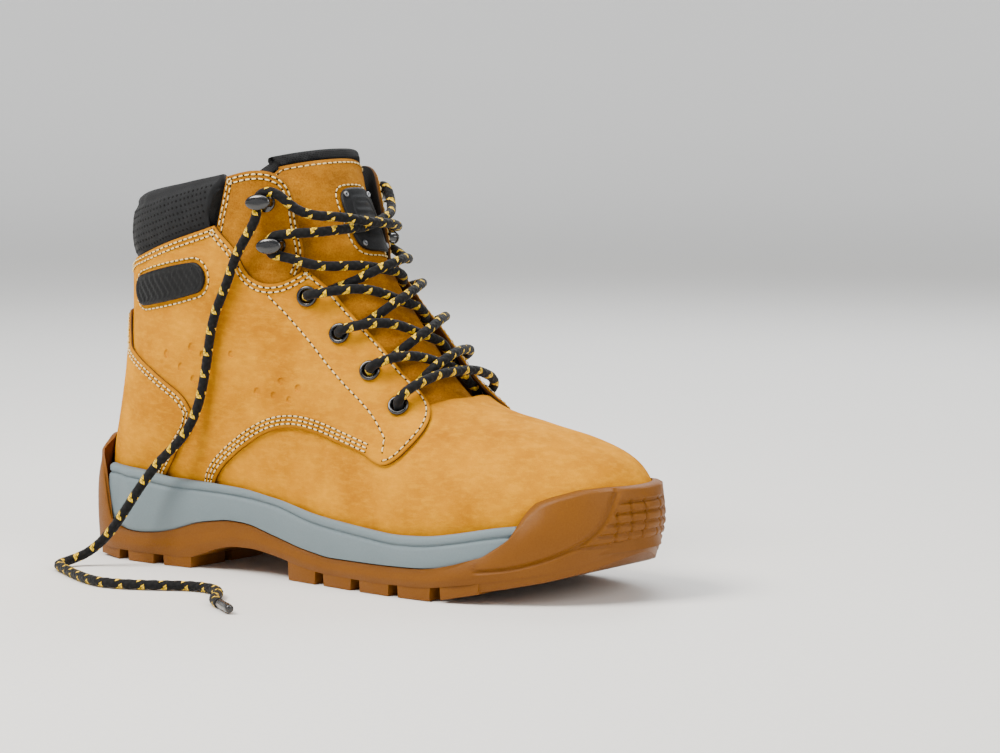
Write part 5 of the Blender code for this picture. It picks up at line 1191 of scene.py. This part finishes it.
def add_collar():
    top_line = side_path(QUARTER_TOP[:6])
    line_s, line_z = np.array([abs(s) for s, _ in top_line]), np.array([z for _, z in QUARTER_TOP[:6]])
    order = np.argsort(line_s)
    low_end, high_end = abs(chart(-68.5, 155.0)[0]), abs(chart(-61.6, 181.0)[0])
    outside = ((0.0, -8.0, -2.6), (0.0, -1.0, -2.4), (0.0, 3.0, -1.0), (0.35, 0.0, 1.2), (0.7, 0.0, 1.0),
               (1.0, -3.0, -1.2), (1.0, 0.0, -5.0), (1.0, -2.5, -9.3), (1.0, -9.0, -11.8), (1.0, -22.0, -12.0),
               (1.0, -36.0, -10.2))
    within = ((1.0, -36.0, -9.0), (1.0, -22.0, -10.8), (1.0, -9.0, -10.6), (1.0, -4.0, -8.2),
              (1.0, -1.3, -5.2), (1.0, -4.0, -2.6), (0.7, 0.0, -0.3), (0.35, 0.0, -0.1), (0.0, 4.0, -2.2),
              (0.0, -1.0, -3.6), (0.0, -8.0, -3.8))
    heights_u = np.linspace(9.0, 16.0, 141)
    loops, uvs = [], []
    stations = np.concatenate(([0, 0.0025, 0.006], np.linspace(0.012, 0.988, 118), [0.994, 0.9975, 1]))
    for c in stations:
        sides = []
        for shape in (outside, within):
            line = []
            for share, lift, out in shape:
                end = low_end + (high_end - low_end) * share
                s = -end - (2 - 2 * end) * c
                quarter = np.interp(min(abs(s), abs(-2 - s)), line_s[order], line_z[order])
                peak = 171.0 + 12.5 * abs(2 * c - 1) ** 1.5
                z = quarter + (peak - quarter) * share + lift
                column = locate(np.full_like(heights_u, s), heights_u)[0][:, 2]
                line.append(locate(s, np.interp(z, column, heights_u), out))
            points, normals = np.array([p for p, _ in line]), np.array([n for _, n in line])
            knots = np.concatenate(([0], np.cumsum(np.linalg.norm(np.diff(points, axis=0), axis=1))))
            at = np.linspace(0, knots[-1], PAD_OUT if shape is outside else PAD_IN)
            sides.append((spline(knots, points, at), unit(spline(knots, normals, at)), at))
        (outer, normals, at), (inner, _, _) = sides
        # Quilting folds across the pad, a rolled seam below the top and soft wrinkles.
        round_at = c * PAD_LENGTH
        tuck = 1.0 * np.exp(-(((at - 33.5) / 1.6) ** 2)) + 0.55 * np.exp(-(((at - 8.5) / 1.3) ** 2))
        soft = np.array([field.noise(Vector((round_at / 15, a / 12, 3.3))) for a in at]) * 0.9
        soft += np.array([field.noise(Vector((round_at / 5.5, a / 9, 8.1))) for a in at]) * 0.35
        shown = np.clip((at - 5) / 5, 0, 1) * np.clip((at[-1] - at) / 12, 0, 1)
        outer = outer + unit(normals) * ((soft - tuck) * shown * np.where(at < 38, 1.0, 0.35))[:, None]
        pinch = 0.0
        for edge in (0.0, 1.0):
            pinch = max(pinch, 1 - abs(c - edge) / 0.006) if abs(c - edge) < 0.006 else pinch
        loop = np.concatenate((outer, inner))
        if pinch > 0:
            back = np.concatenate((inner[::-1], outer[::-1]))
            back = spline(np.arange(len(back)), back, np.linspace(0, len(back) - 1, len(loop)))
            loop = loop * (1 - 0.25 * pinch) + back * 0.25 * pinch
        loops.append(loop)
        uvs.append((round_at, at, at[-1]))
    size = len(loops[0])
    around = [np.concatenate((at, last + (np.arange(size - len(at)) + 1) * 1.6)) for _, at, last in uvs]
    points = np.concatenate(loops)
    faces, corner_uvs = [], []
    for r in range(len(loops) - 1):
        for k in range(size):
            n = (k + 1) % size
            faces.append((r * size + k, r * size + n, (r + 1) * size + n, (r + 1) * size + k))
            v = around[r][k], around[r][k] + 1.2 if n == 0 else around[r][n]
            corner_uvs += [(uvs[r][0], v[0]), (uvs[r][0], v[1]), (uvs[r + 1][0], v[1]), (uvs[r + 1][0], v[0])]
    for base, r in ((0, 0), ((len(loops) - 1) * size, len(loops) - 1)):
        order_out, order_in = list(range(PAD_OUT)), list(range(size - 1, PAD_OUT - 1, -1))
        # A strip of triangles joins the outer line to the inner one across the pad's end.
        i = j = 0
        while i < PAD_OUT - 1 or j < PAD_IN - 1:
            if j >= PAD_IN - 1 or (i < PAD_OUT - 1 and i / (PAD_OUT - 1) <= j / (PAD_IN - 1)):
                f = (base + order_out[i], base + order_out[i + 1], base + order_in[j])
                i += 1
            else:
                f = (base + order_out[i], base + order_in[j + 1], base + order_in[j])
                j += 1
            faces.append(f if r else f[::-1])
            corner_uvs += [(uvs[r][0], 0.0)] * 3
    cover = made("collar_pad", points, faces, COLLAR, "shell", "collar_cover", "collar_cloth",
                 uv=np.array(corner_uvs) * MM)
    turn_outwards(cover.data)
    # Rows of punched holes over the outside of the pad; each is capped with a near-black disc as painted shade.
    grid = np.array([loop[:PAD_OUT] for loop in loops])
    round_line, up_line = np.array([u[0] for u in uvs]), np.array([u[1] for u in uvs])
    points, faces = [], []
    turns = np.arange(PUNCH_SIDES) * math.pi / 4
    for row, up_at in enumerate(np.arange(11.0, 31.0, PUNCH_PITCH)):
        for at in np.arange(4.0 + PUNCH_PITCH / 2 * (row % 2), PAD_LENGTH - 3, PUNCH_PITCH):
            r = np.searchsorted(round_line, at) - 1
            a = (at - round_line[r]) / (round_line[r + 1] - round_line[r])
            k = min(int(np.searchsorted(up_line[r], up_at)) - 1, PAD_OUT - 2)
            b = (up_at - up_line[r][k]) / (up_line[r][k + 1] - up_line[r][k])
            near = grid[r : r + 2, k : k + 2]
            spot = (near * np.array([[(1 - a) * (1 - b), (1 - a) * b], [a * (1 - b), a * b]])[..., None]).sum((0, 1))
            across, rise = unit(near[1].mean(0) - near[0].mean(0)), unit(near[:, 1].mean(0) - near[:, 0].mean(0))
            out = unit(np.cross(across, rise))
            out *= np.sign(out.dot(spot - (grid[r].mean(0) + grid[len(grid) - 1 - r].mean(0)) / 2))
            base = len(points)
            for depth, radius in ((0.06, 0.62), (-0.3, 0.5)):
                circle = np.cos(turns)[:, None] * across + np.sin(turns)[:, None] * np.cross(out, across)
                points += list(spot + out * depth + radius * circle)
            under = base + PUNCH_SIDES
            faces.append(tuple(base + k for k in range(PUNCH_SIDES)))
            faces.append(tuple(under + PUNCH_SIDES - 1 - k for k in range(PUNCH_SIDES)))
            for k in range(PUNCH_SIDES):
                n = (k + 1) % PUNCH_SIDES
                faces.append((base + k, under + k, under + n, base + n))
    made("collar_holes", points, faces, PUNCHED_SHADE, "shell", slot="collar_cloth")

# ---- the sole -----------------------------------------------------------------------------
PLAN = (
    (-161.0, -0.5, -0.5), (-160.0, -11.0, 10.0), (-157.0, -20.0, 19.0), (-151.5, -29.5, 28.0),
    (-142.0, -37.0, 35.0), (-125.0, -42.0, 39.5), (-98.0, -43.5, 41.0), (-60.0, -42.5, 39.0), (-30.0, -43.5, 39.5),
    (0.0, -48.0, 43.0), (30.0, -52.5, 48.0), (60.0, -55.0, 52.5), (85.0, -52.5, 52.5),
    (105.0, -44.5, 49.5), (122.0, -33.5, 42.0), (134.0, -21.5, 31.5), (141.5, -9.5, 20.5), (146.0, 5.5, 5.5),
)
RIM = ((-161, 44.5), (-123, 43.4), (-104, 41.2), (-92, 40.8), (-66, 40.2), (-51, 39.3), (-31, 36.8),
       (-12, 32.2), (2, 30.5), (20, 29.1), (46, 27.1), (66, 27.8), (80, 29.9), (98, 33.2), (107, 34.1),
       (120, 35.0), (146, 38.0))
MIDSOLE_LOW = ((-161, 17.0), (-143, 16.2), (-130, 15.4), (-117, 14.2), (-102, 15.4), (-91, 17.8), (-79, 21.7),
               (-61, 24.2), (-47, 23.5), (-34, 20.0), (-14, 15.6), (5, 13.1), (40, 13.4), (64, 14.0),
               (80, 15.2), (100, 17.5), (120, 20.0), (146, 24.0))
RUBBER_TOP = ((-161, 57.0), (-157, 57.0), (-152, 55.0), (-147, 50.0), (-143, 43.0), (-140, 31.0), (-137, 21.0),
              (-133, 16.2), (-129, 0), (52, 0), (62, 13.6), (71, 14.9), (80, 17.0), (92.6, 20.9), (99, 25.5),
              (104, 29.5),
              (107, 34.3), (110.3, 38.9), (115.8, 44.2), (121.7, 46.8), (131.8, 50.0), (140, 51.0), (146, 51.0))
OUTSOLE_LOW = ((-161, 10.5), (-150, 7.0), (-138, 4.8), (-84, 4.5), (-78, 5.5), (-70, 9.0), (-58, 12.0),
               (-42, 12.2), (-25, 9.6), (-10, 6.5), (5, 5.4), (40, 5.0), (70, 5.8), (88, 8.5), (107, 11.5),
               (122, 14.5), (135, 18.0), (146, 25.0))
GROUND = ((-161, 6.0), (-150, 2.0), (-138, 0.0), (66, 0.0), (88, 4.3), (107, 7.4), (122, 10.5), (135, 14.5),
          (146, 21.0))
HEEL_LUGS, FRONT_LUGS = (-136.0, -113.0, -90.0), (-13.0, 10.5, 34.0, 57.5, 81.0)
TOE_MIDDLE = 5.5  # how far the toe's tip lies to the inner side
TOE_LEAF = ((136.7, 49.6), (136.4, 45.0), (135.0, 36.9), (129.9, 28.8), (121.7, 22.9), (112.5, 18.9),
            (101.4, 16.0), (90.0, 14.6))
SOLE_X = np.concatenate((
    (-161, -160.7, -160.2, -159.3), np.arange(-158.0, -130, 1.5), np.arange(-130.0, 70, 3.0),
    np.arange(70.0, 92.0, 1.25), np.arange(92.0, 137.6, 0.65),
    146.0 - 8.0 * np.linspace(1.0, 0.0, 34) ** 2))


def smooth_level(table, x, reach=3.0):
    """A table's heights with its corners eased."""
    return sum(level(table, np.asarray(x) + d * reach) for d in (-1, -0.5, 0, 0.5, 1)) / 5


def plan_at(x):
    """Outer and inner y of the sole at x."""
    table = np.asarray(PLAN)
    low, high = table[0, 0], table[-1, 0]
    turn = np.arccos(1 - 2 * (table[:, 0] - low) / (high - low))
    return spline(turn, table[:, 1:], np.arccos(1 - 2 * np.clip((np.asarray(x, float) - low) / (high - low), 0, 1)))


def station_loop(z, edges):
    """A loop round the foot through two edges, outer and inner, each rows of (x, y) from heel to toe."""
    heel, toe = edges[0][0][0], edges[0][-1][0]
    spots = heel + (SOLE_X - SOLE_X[0]) / (SOLE_X[-1] - SOLE_X[0]) * (toe - heel)
    outer, inner = (np.interp(spots, e[:, 0], e[:, 1]) for e in edges)
    outer[[0, -1]] = (outer + inner)[[0, -1]] / 2
    z = np.broadcast_to(z, SOLE_X.shape)
    return np.concatenate((np.stack([spots, outer, z], 1), np.stack([spots, inner, z], 1)[-2:0:-1]))


def plan_loop(z, inset):
    """The sole's outline at height z (along x), drawn in by inset."""
    turn = np.linspace(0, math.pi, 900)
    x = PLAN[0][0] + (PLAN[-1][0] - PLAN[0][0]) * (1 - np.cos(turn)) / 2
    lines = plan_at(x)
    drawn = np.interp(x, SOLE_X, np.broadcast_to(inset, SOLE_X.shape))
    edges = []
    for k, turned_in in ((0, 1), (1, -1)):
        line = np.stack([x, lines[:, k]], 1)
        run = unit(np.gradient(line, axis=0))
        line += np.stack([-run[:, 1], run[:, 0]], 1) * turned_in * drawn[:, None]
        edges.append(line[np.argsort(line[:, 0])])
    return station_loop(z, edges)


def upper_loop(z, out):
    """A loop at height z (along x), this far from the base surface along its normals."""
    z, out = np.broadcast_to(z, SOLE_X.shape), np.broadcast_to(out, SOLE_X.shape)
    s, u = np.meshgrid(np.linspace(0, 1, 121), np.linspace(0.15, 13.5, 700))
    away = np.interp(locate(s, u)[0][..., 0], SOLE_X, out)
    edges = []
    for side in (-1, 1):
        points = locate(side * s, u, away)[0]
        over = points[..., 2] - np.interp(points[..., 0], SOLE_X, z)
        found = []
        for row, rise in zip(points, over):
            k = np.flatnonzero((rise[:-1] > 0) & (rise[1:] <= 0))
            if len(k):
                found.append(row[k[-1]] + (row[k[-1] + 1] - row[k[-1]]) * rise[k[-1]]
                             / (rise[k[-1]] - rise[k[-1] + 1]))
        tips = []
        for line, rise in ((points[:, -1], over[:, -1]), (points[:, 0], over[:, 0])):
            k = np.flatnonzero(rise[:-1] * rise[1:] <= 0)
            tips += [line[i] + (line[i + 1] - line[i]) * rise[i] / (rise[i] - rise[i + 1]) for i in k]
        edges.append(np.array(sorted(found + [min(tips, key=lambda p: p[0]), max(tips, key=lambda p: p[0])],
                                     key=lambda p: p[0])))
    return station_loop(z, edges)


def foot_body(name, loops, looks, body="shell", sharp=45, **more):
    """Closes a stack of loops at both ends with strips across the foot."""
    size, half = len(loops[0]), len(SOLE_X)
    faces = []
    for r in range(len(loops) - 1):
        for k in range(size):
            n = (k + 1) % size
            faces.append((r * size + k, r * size + n, (r + 1) * size + n, (r + 1) * size + k))
    for base, turn in ((0, -1), ((len(loops) - 1) * size, 1)):
        strip = [(base, base + 1, base + size - 1)]
        for k in range(1, half - 2):
            strip.append((base + size - k, base + k, base + k + 1, base + size - k - 1))
        strip.append((base + half - 1, base + half, base + half - 2))
        faces += [f[::turn] for f in strip]
    points = np.concatenate(loops)
    sample = [points[[f[k] for f in faces]] for k in range(3)]
    if (np.cross(sample[0], sample[1]) * sample[2]).sum() < 0:
        faces = [f[::-1] for f in faces]
    return made(name, points, faces, looks, body, sharp=sharp, **more)


def applied(thing, sharp=45):
    """Bakes an object's modifiers into its mesh."""
    bpy.context.view_layer.update()
    mesh = bpy.data.meshes.new_from_object(thing.evaluated_get(bpy.context.evaluated_depsgraph_get()))
    thing.modifiers.clear()
    thing.data = mesh
    mesh.shade_smooth()
    mesh.set_sharp_from_angle(angle=math.radians(sharp))


def cut_from(thing, space):
    cut = thing.modifiers.new("foot_space", "BOOLEAN")
    cut.operation, cut.solver, cut.object = "DIFFERENCE", "EXACT", space


def groove(points, line, width, depth):
    """How deep points lie in a round-bottomed groove along a line in side view."""
    line = np.asarray(line, float)
    best = np.full(len(points), 1e9)
    for a, b in zip(line, line[1:]):
        t = np.clip(((points - a) @ (b - a)) / ((b - a) @ (b - a)), 0, 1)
        best = np.minimum(best, np.linalg.norm(points - a - t[:, None] * (b - a), axis=1))
    return depth * (0.5 + 0.5 * np.cos(np.clip(best / width, 0, 1) * math.pi))


def add_sole():
    x = SOLE_X
    rim, low = smooth_level(RIM, x, 5), smooth_level(MIDSOLE_LOW, x, 4)
    top = np.maximum(smooth_level(RUBBER_TOP, x, 1.0), low - 0.3)
    thick = np.interp(x, (-137, -131, 58, 78, 100), (2.4, 0.0, 0.0, 1.0, 2.6))
    tip = blend(x, 118, 146)
    heel, toe, gone = blend(x, -146, -154), blend(x, 102, 116), blend(x, 107.5, 111.5)
    cup = rim - 9.9 - 1.3 * gone - np.interp(x, (-100, -85), (2.4, 0))
    clear = np.interp(x, (-95, -88, -64, -50, 86, 104), (2.1, 0.8, 0.8, -0.2, -0.2, -1.7))
    foot = [upper_loop(cup * (1 - t) + 62.0 * t, clear)
            for t in (0, 0.05, 0.1, 0.16, 0.23, 0.31, 0.4, 0.5, 0.6, 0.7, 0.85, 1)]
    space = foot_body("foot_space", foot, MIDSOLE)
    inset = np.interp(x, (-131, -122, 58, 70, 100), (2.8, 0.0, 0.0, 1.4, 3.0))
    lip = rim * (1 - gone) + (cup - 0.5) * gone
    step = 1 - 0.75 * gone
    round_back = 1.3 * blend(x, -140, -150)
    # Rim, rounded band, groove, a second line and the ribbed side.
    loops = []
    for down, drawn, lean in ((0, 2.6, 5.0), (0.15, 2.0, 4.9), (0.5, 1.45, 4.8), (1.1, 1.05, 4.7),
                              (2.2, 0.85, 4.5), (3.1, 0.85, 4.3),
                              (3.55, 1.15, 4.15), (3.8, 1.45, 4.1), (4.2, 1.7, 4.0), (4.6, 1.4, 3.9),
                              (4.85, 0.95, 3.85), (5.3, 0.6, 3.8), (6.2, 0.45, 3.6)):
        loops.append(plan_loop(lip - down * step, drawn + inset + 2.2 * gone + lean * round_back))
    bottom = 0.4 + inset + 1.2 * gone
    upper_line, side_line = lip - 6.2 * step, 0.45 + inset + 2.2 * gone + 3.6 * round_back
    for t in (0.06, 0.12, 0.2, 0.3, 0.42, 0.55, 0.68, 0.8, 0.9, 0.97, 1.0):
        belly = 0.1 + inset + 1.6 * heel + 1.2 * gone
        way = side_line * (1 - t) ** 2 + 2 * t * (1 - t) * (belly - 0.35) + bottom * t * t
        height = upper_line * (1 - t) + low * t
        ribs = 0.22 * np.clip(np.cos(x * 2 * math.pi / 6.0), -0.2, 1)
        ribs = ribs * blend(x, -52, -44) * blend(x, 4, -4) * math.sin(math.pi * t)
        loops.append(plan_loop(height, way + ribs + (0.5 if t == 1.0 else 0)))
    midsole = foot_body("midsole_cup", loops, MIDSOLE, replaces="midsole", slot="midsole_foam")
    cut_from(midsole, space)
    under = smooth_level(OUTSOLE_LOW, x, 4)
    drop = top - under
    high = np.maximum(top, rim)
    wall_in = plan_loop(top, thick + 0.1)
    wall_out = plan_loop(top - 0.4 * blend(thick, 0, 0.4), 0.3 + 1.2 * blend(thick, 0.1, 1.2))
    cap_in, cap_out = upper_loop(high, clear - 1.0), upper_loop(high - 1.3, clear + 2.2 + 1.5 * toe)
    cap_soft = upper_loop(high - 0.3, clear + 1.3 + 0.9 * toe)
    share = np.concatenate((heel + toe, (heel + toe)[1:-1][::-1]))[:, None]
    loops = [plan_loop(low - 0.3, np.maximum(thick + 0.1, 0.6)), wall_in * (1 - share) + cap_in * share,
             (0.5 * wall_in + 0.5 * wall_out) * (1 - share) + cap_soft * share]
    keys = [wall_out * (1 - share) + cap_out * share, plan_loop(under + 0.72 * drop, 0.5 + 0.9 * toe + 3.0 * heel),
            plan_loop(under + 0.38 * drop, 0.3 * heel + 1.2 * tip), plan_loop(under, 0.8 + 5.0 * tip)]
    loops += list(spline((0, 0.28, 0.62, 1.0), keys, np.linspace(0, 1, 58)))
    loops.append(plan_loop(under - 0.1, 2.2 + 6.0 * tip))
    rows = np.array(loops)
    # The toe bumper's leaf, its front grooves, pressed in along the normals.
    flow = unit(np.cross(np.gradient(rows, axis=0), np.roll(rows, -1, 1) - np.roll(rows, 1, 1)))
    outward = rows - rows.mean(1, keepdims=True)
    flow *= np.sign((flow * outward).sum(2, keepdims=True).sum(1, keepdims=True))
    flat = rows[3:-1].reshape(-1, 3)
    leaf_edge = sorted((z, at) for at, z in TOE_LEAF)
    view = flat[:, [0, 2]]
    depth = groove(view, spline(np.arange(len(TOE_LEAF)), TOE_LEAF, np.linspace(0, len(TOE_LEAF) - 1, 60)), 1.5, 1.2)
    front = blend(view[:, 0] - level(leaf_edge, view[:, 1]), 1.2, 3.0)
    middle = np.abs(flat[:, 1] - TOE_MIDDLE)
    ring = lambda off, width: 0.5 + 0.5 * np.cos(np.clip(np.abs(off) / width, 0, 1) * math.pi)
    for z in (44.5, 39.8, 35.2, 30.8, 26.6):
        depth += front * 1.1 * ring(view[:, 1] - z - 0.10 * (view[:, 0] - 140), 1.35)
    for away in (5.5, 12.5, 19.0):
        depth += front * 0.9 * ring(middle - away, 1.1) * blend(view[:, 1], 24.5, 26) * blend(view[:, 1], 46.5, 45)
    rows[3:-1] -= flow[3:-1] * depth.reshape(rows[3:-1].shape[:2])[..., None]

    sole = foot_body("outsole_rubber", list(rows), RUBBER, replaces="outsole", slot="rubber_sole")
    cut_from(sole, space)
    for thing in (midsole, sole):
        applied(thing)
    # Pebbled inside the leaf at the toe's sides.
    spots = np.empty(3 * len(sole.data.vertices), np.float32)
    sole.data.vertices.foreach_get("co", spots)
    spots = spots.reshape(-1, 3) / MM - CENTRE
    below = smooth_level(RUBBER_TOP, spots[:, 0], 1.0) - spots[:, 2]
    leaf = blend(level(leaf_edge, spots[:, 1]) - spots[:, 0], 0.3, 1.3)
    leaf = leaf * blend(spots[:, 0], 84, 96) * blend(below, 0.4, 1.4)
    leaf *= blend(spots[:, 2] - level(sorted(TOE_LEAF), spots[:, 0]), 0.3, 1.3)
    sole.data.attributes.new("leaf", "FLOAT", "POINT").data.foreach_set("value", leaf.astype(np.float32))
    bpy.data.objects.remove(space)
    points, faces = [], []
    for spots, long in ((HEEL_LUGS, 17.0), (FRONT_LUGS, 18.5)):
        for at in spots:
            ends = at + np.array([-0.5, 0.5]) * long
            edge = plan_at(ends) + (0.9, -0.9)
            for start, stop in ((0.0, 0.3), (0.36, 0.64), (0.7, 1.0)):
                base = len(points)
                for lift in (0, 1):
                    for k, share_y in ((0, start), (1, start), (1, stop), (0, stop)):
                        y = edge[k, 0] + (edge[k, 1] - edge[k, 0]) * share_y
                        z = level(OUTSOLE_LOW, ends[k]) + 1.6 if lift else level(GROUND, ends[k])
                        points.append((at + (ends[k] - at) * (0.95 + 0.05 * lift), y, z))
                for f in ((3, 2, 1, 0), (4, 5, 6, 7), (0, 1, 5, 4), (1, 2, 6, 5), (2, 3, 7, 6), (3, 0, 4, 7)):
                    faces.append(tuple(base + k for k in f))
    # The toe's wall runs on down to the ground line in one piece.
    first = int(np.searchsorted(SOLE_X, 94.0))
    for level_at, lift, drawn in ((GROUND, 0.0, 1.8 + 5.5 * tip), (OUTSOLE_LOW, 1.6, 0.7 + 5.0 * tip)):
        loop = plan_loop(level(level_at, SOLE_X) + lift, drawn)[first : len(SOLE_X) * 2 - 1 - first]
        points += list(loop)
    size = len(loop)
    base = len(points) - 2 * size
    for k in range(size):
        n = (k + 1) % size
        faces.append((base + k, base + n, base + size + n, base + size + k))
    half = size // 2
    for floor_at, turn in ((base, -1), (base + size, 1)):
        for k in range(half - 1):
            faces.append((floor_at + k, floor_at + k + 1, floor_at + size - 2 - k, floor_at + size - 1 - k)[::turn])
        faces.append((floor_at + half - 1, floor_at + half, floor_at + half + 1)[::turn])
    lugs = made("outsole_lugs", points, faces, RUBBER, "shell", "outsole", "rubber_sole")
    turn_outwards(lugs.data)
    soften = lugs.modifiers.new("soften", "BEVEL")
    soften.width, soften.segments, soften.limit_method, soften.angle_limit = 0.0011, 3, "ANGLE", math.radians(25)
    applied(lugs, 60)
    # The footbed: a cloth-topped foam slab with a dished heel.
    loose = -np.interp(x, (-130, -100, 62, 76), (7.9, 7.2, 7.0, 8.6))
    outer = [(-4.9, 0.8), (-4.6, 0.2), (-3.9, 0.0), (-1.0, 0.0), (-0.4, 0.25), (-0.1, 0.9)]
    loops = [upper_loop(rim + rise, loose - inn) for rise, inn in outer]
    middle = loops[-1].copy()
    for t, sink in ((0.08, 0.1), (0.2, 0.5), (0.4, 1.1), (0.7, 1.6)):
        inner_loop = middle.copy()
        half = len(SOLE_X)
        outer_y, inner_y = middle[1 : half - 1, 1], middle[-1 : half - 1 : -1, 1]
        centre_y = (outer_y + inner_y) / 2
        inner_loop[1 : half - 1, 1] += (centre_y - outer_y) * t
        inner_loop[-1 : half - 1 : -1, 1] += (centre_y - inner_y) * t
        inner_loop[:, 0] += (middle[:, 0].mean() - middle[:, 0]) * 0.05 * t
        inner_loop[:, 2] -= sink * blend(np.abs(inner_loop[:, 0] - 0), 150, 110)
        loops.append(inner_loop)
    bed = foot_body("footbed_pad", loops, FOOTBED, "footbed", replaces="footbed", slot="footbed_cloth",
                    uv=np.concatenate(loops)[:, :2] * MM)


# ---- linings ------------------------------------------------------------------------------
def add_linings():
    top = [(0.0, 6.5)] + side_path(((54, 76), (45, 68), (36, 62), (20, 60), (0, 61), (-19, 62), (-19.5, 48),
                                    (-19.5, 26)))
    half = top + side_path(VAMP_FOOT[3:]) + [(chart(140.3, 38.5)[0], 0.3)]
    under_cap = lambda d: lambda s, u: d - 1.9 * blend(locate(s, u)[0][..., 0], 72, 83)
    panel("vamp_cloth", both_sides(half), [under_cap(d) for d in LINING], (MESH,), replaces="vamp_lining",
          slot="lining_cloth", step=3.6)
    foot = side_path(((-147, 38), (-136, 35), (-122, 34), (-104, 33.5), (-84, 33), (-60, 32.5), (-40, 31),
                      (-20.6, 26.5)))
    front = side_path(((-20.6, 48), (-21, 63), (-27, 78), (-36, 92), (-45, 106), (-52, 120), (-57, 134), (-60, 145)))
    back = side_path(((-80, 143), (-100, 137), (-120, 130), (-131, 127)))
    panel("shaft_cloth", around_heel(foot + front + back), LINING, (MESH,), replaces="shaft_lining",
          slot="lining_cloth", step=3.6)
    half = side_path(((-131, 99), (-110, 98), (-80, 98), (-56, 101), (-55, 112), (-58, 126), (-63, 138), (-67, 145),
                      (-80, 143), (-100, 137), (-120, 130), (-131, 127)))
    panel("shaft_wadding", around_heel(half), (-1.9, -3.3), (FOAM,), replaces="shaft_padding",
          slot="padding", step=4.0)
    for name, look in (("toe_cap", STEEL), ("midsole_plate", STEEL), ("insole_board", BOARD),
                       ("heel_stiffener", BOARD),
                       ("toe_cap_edging", BADGE), ("collar_foam", FOAM)):
        for slot in bpy.data.objects[name].material_slots:
            slot.material = look
        if not bpy.data.objects[name].material_slots:
            bpy.data.objects[name].data.materials.append(look)


add_upper()
add_tongue()
add_hardware()
add_collar()
add_sole()
add_linings()
add_stitching()
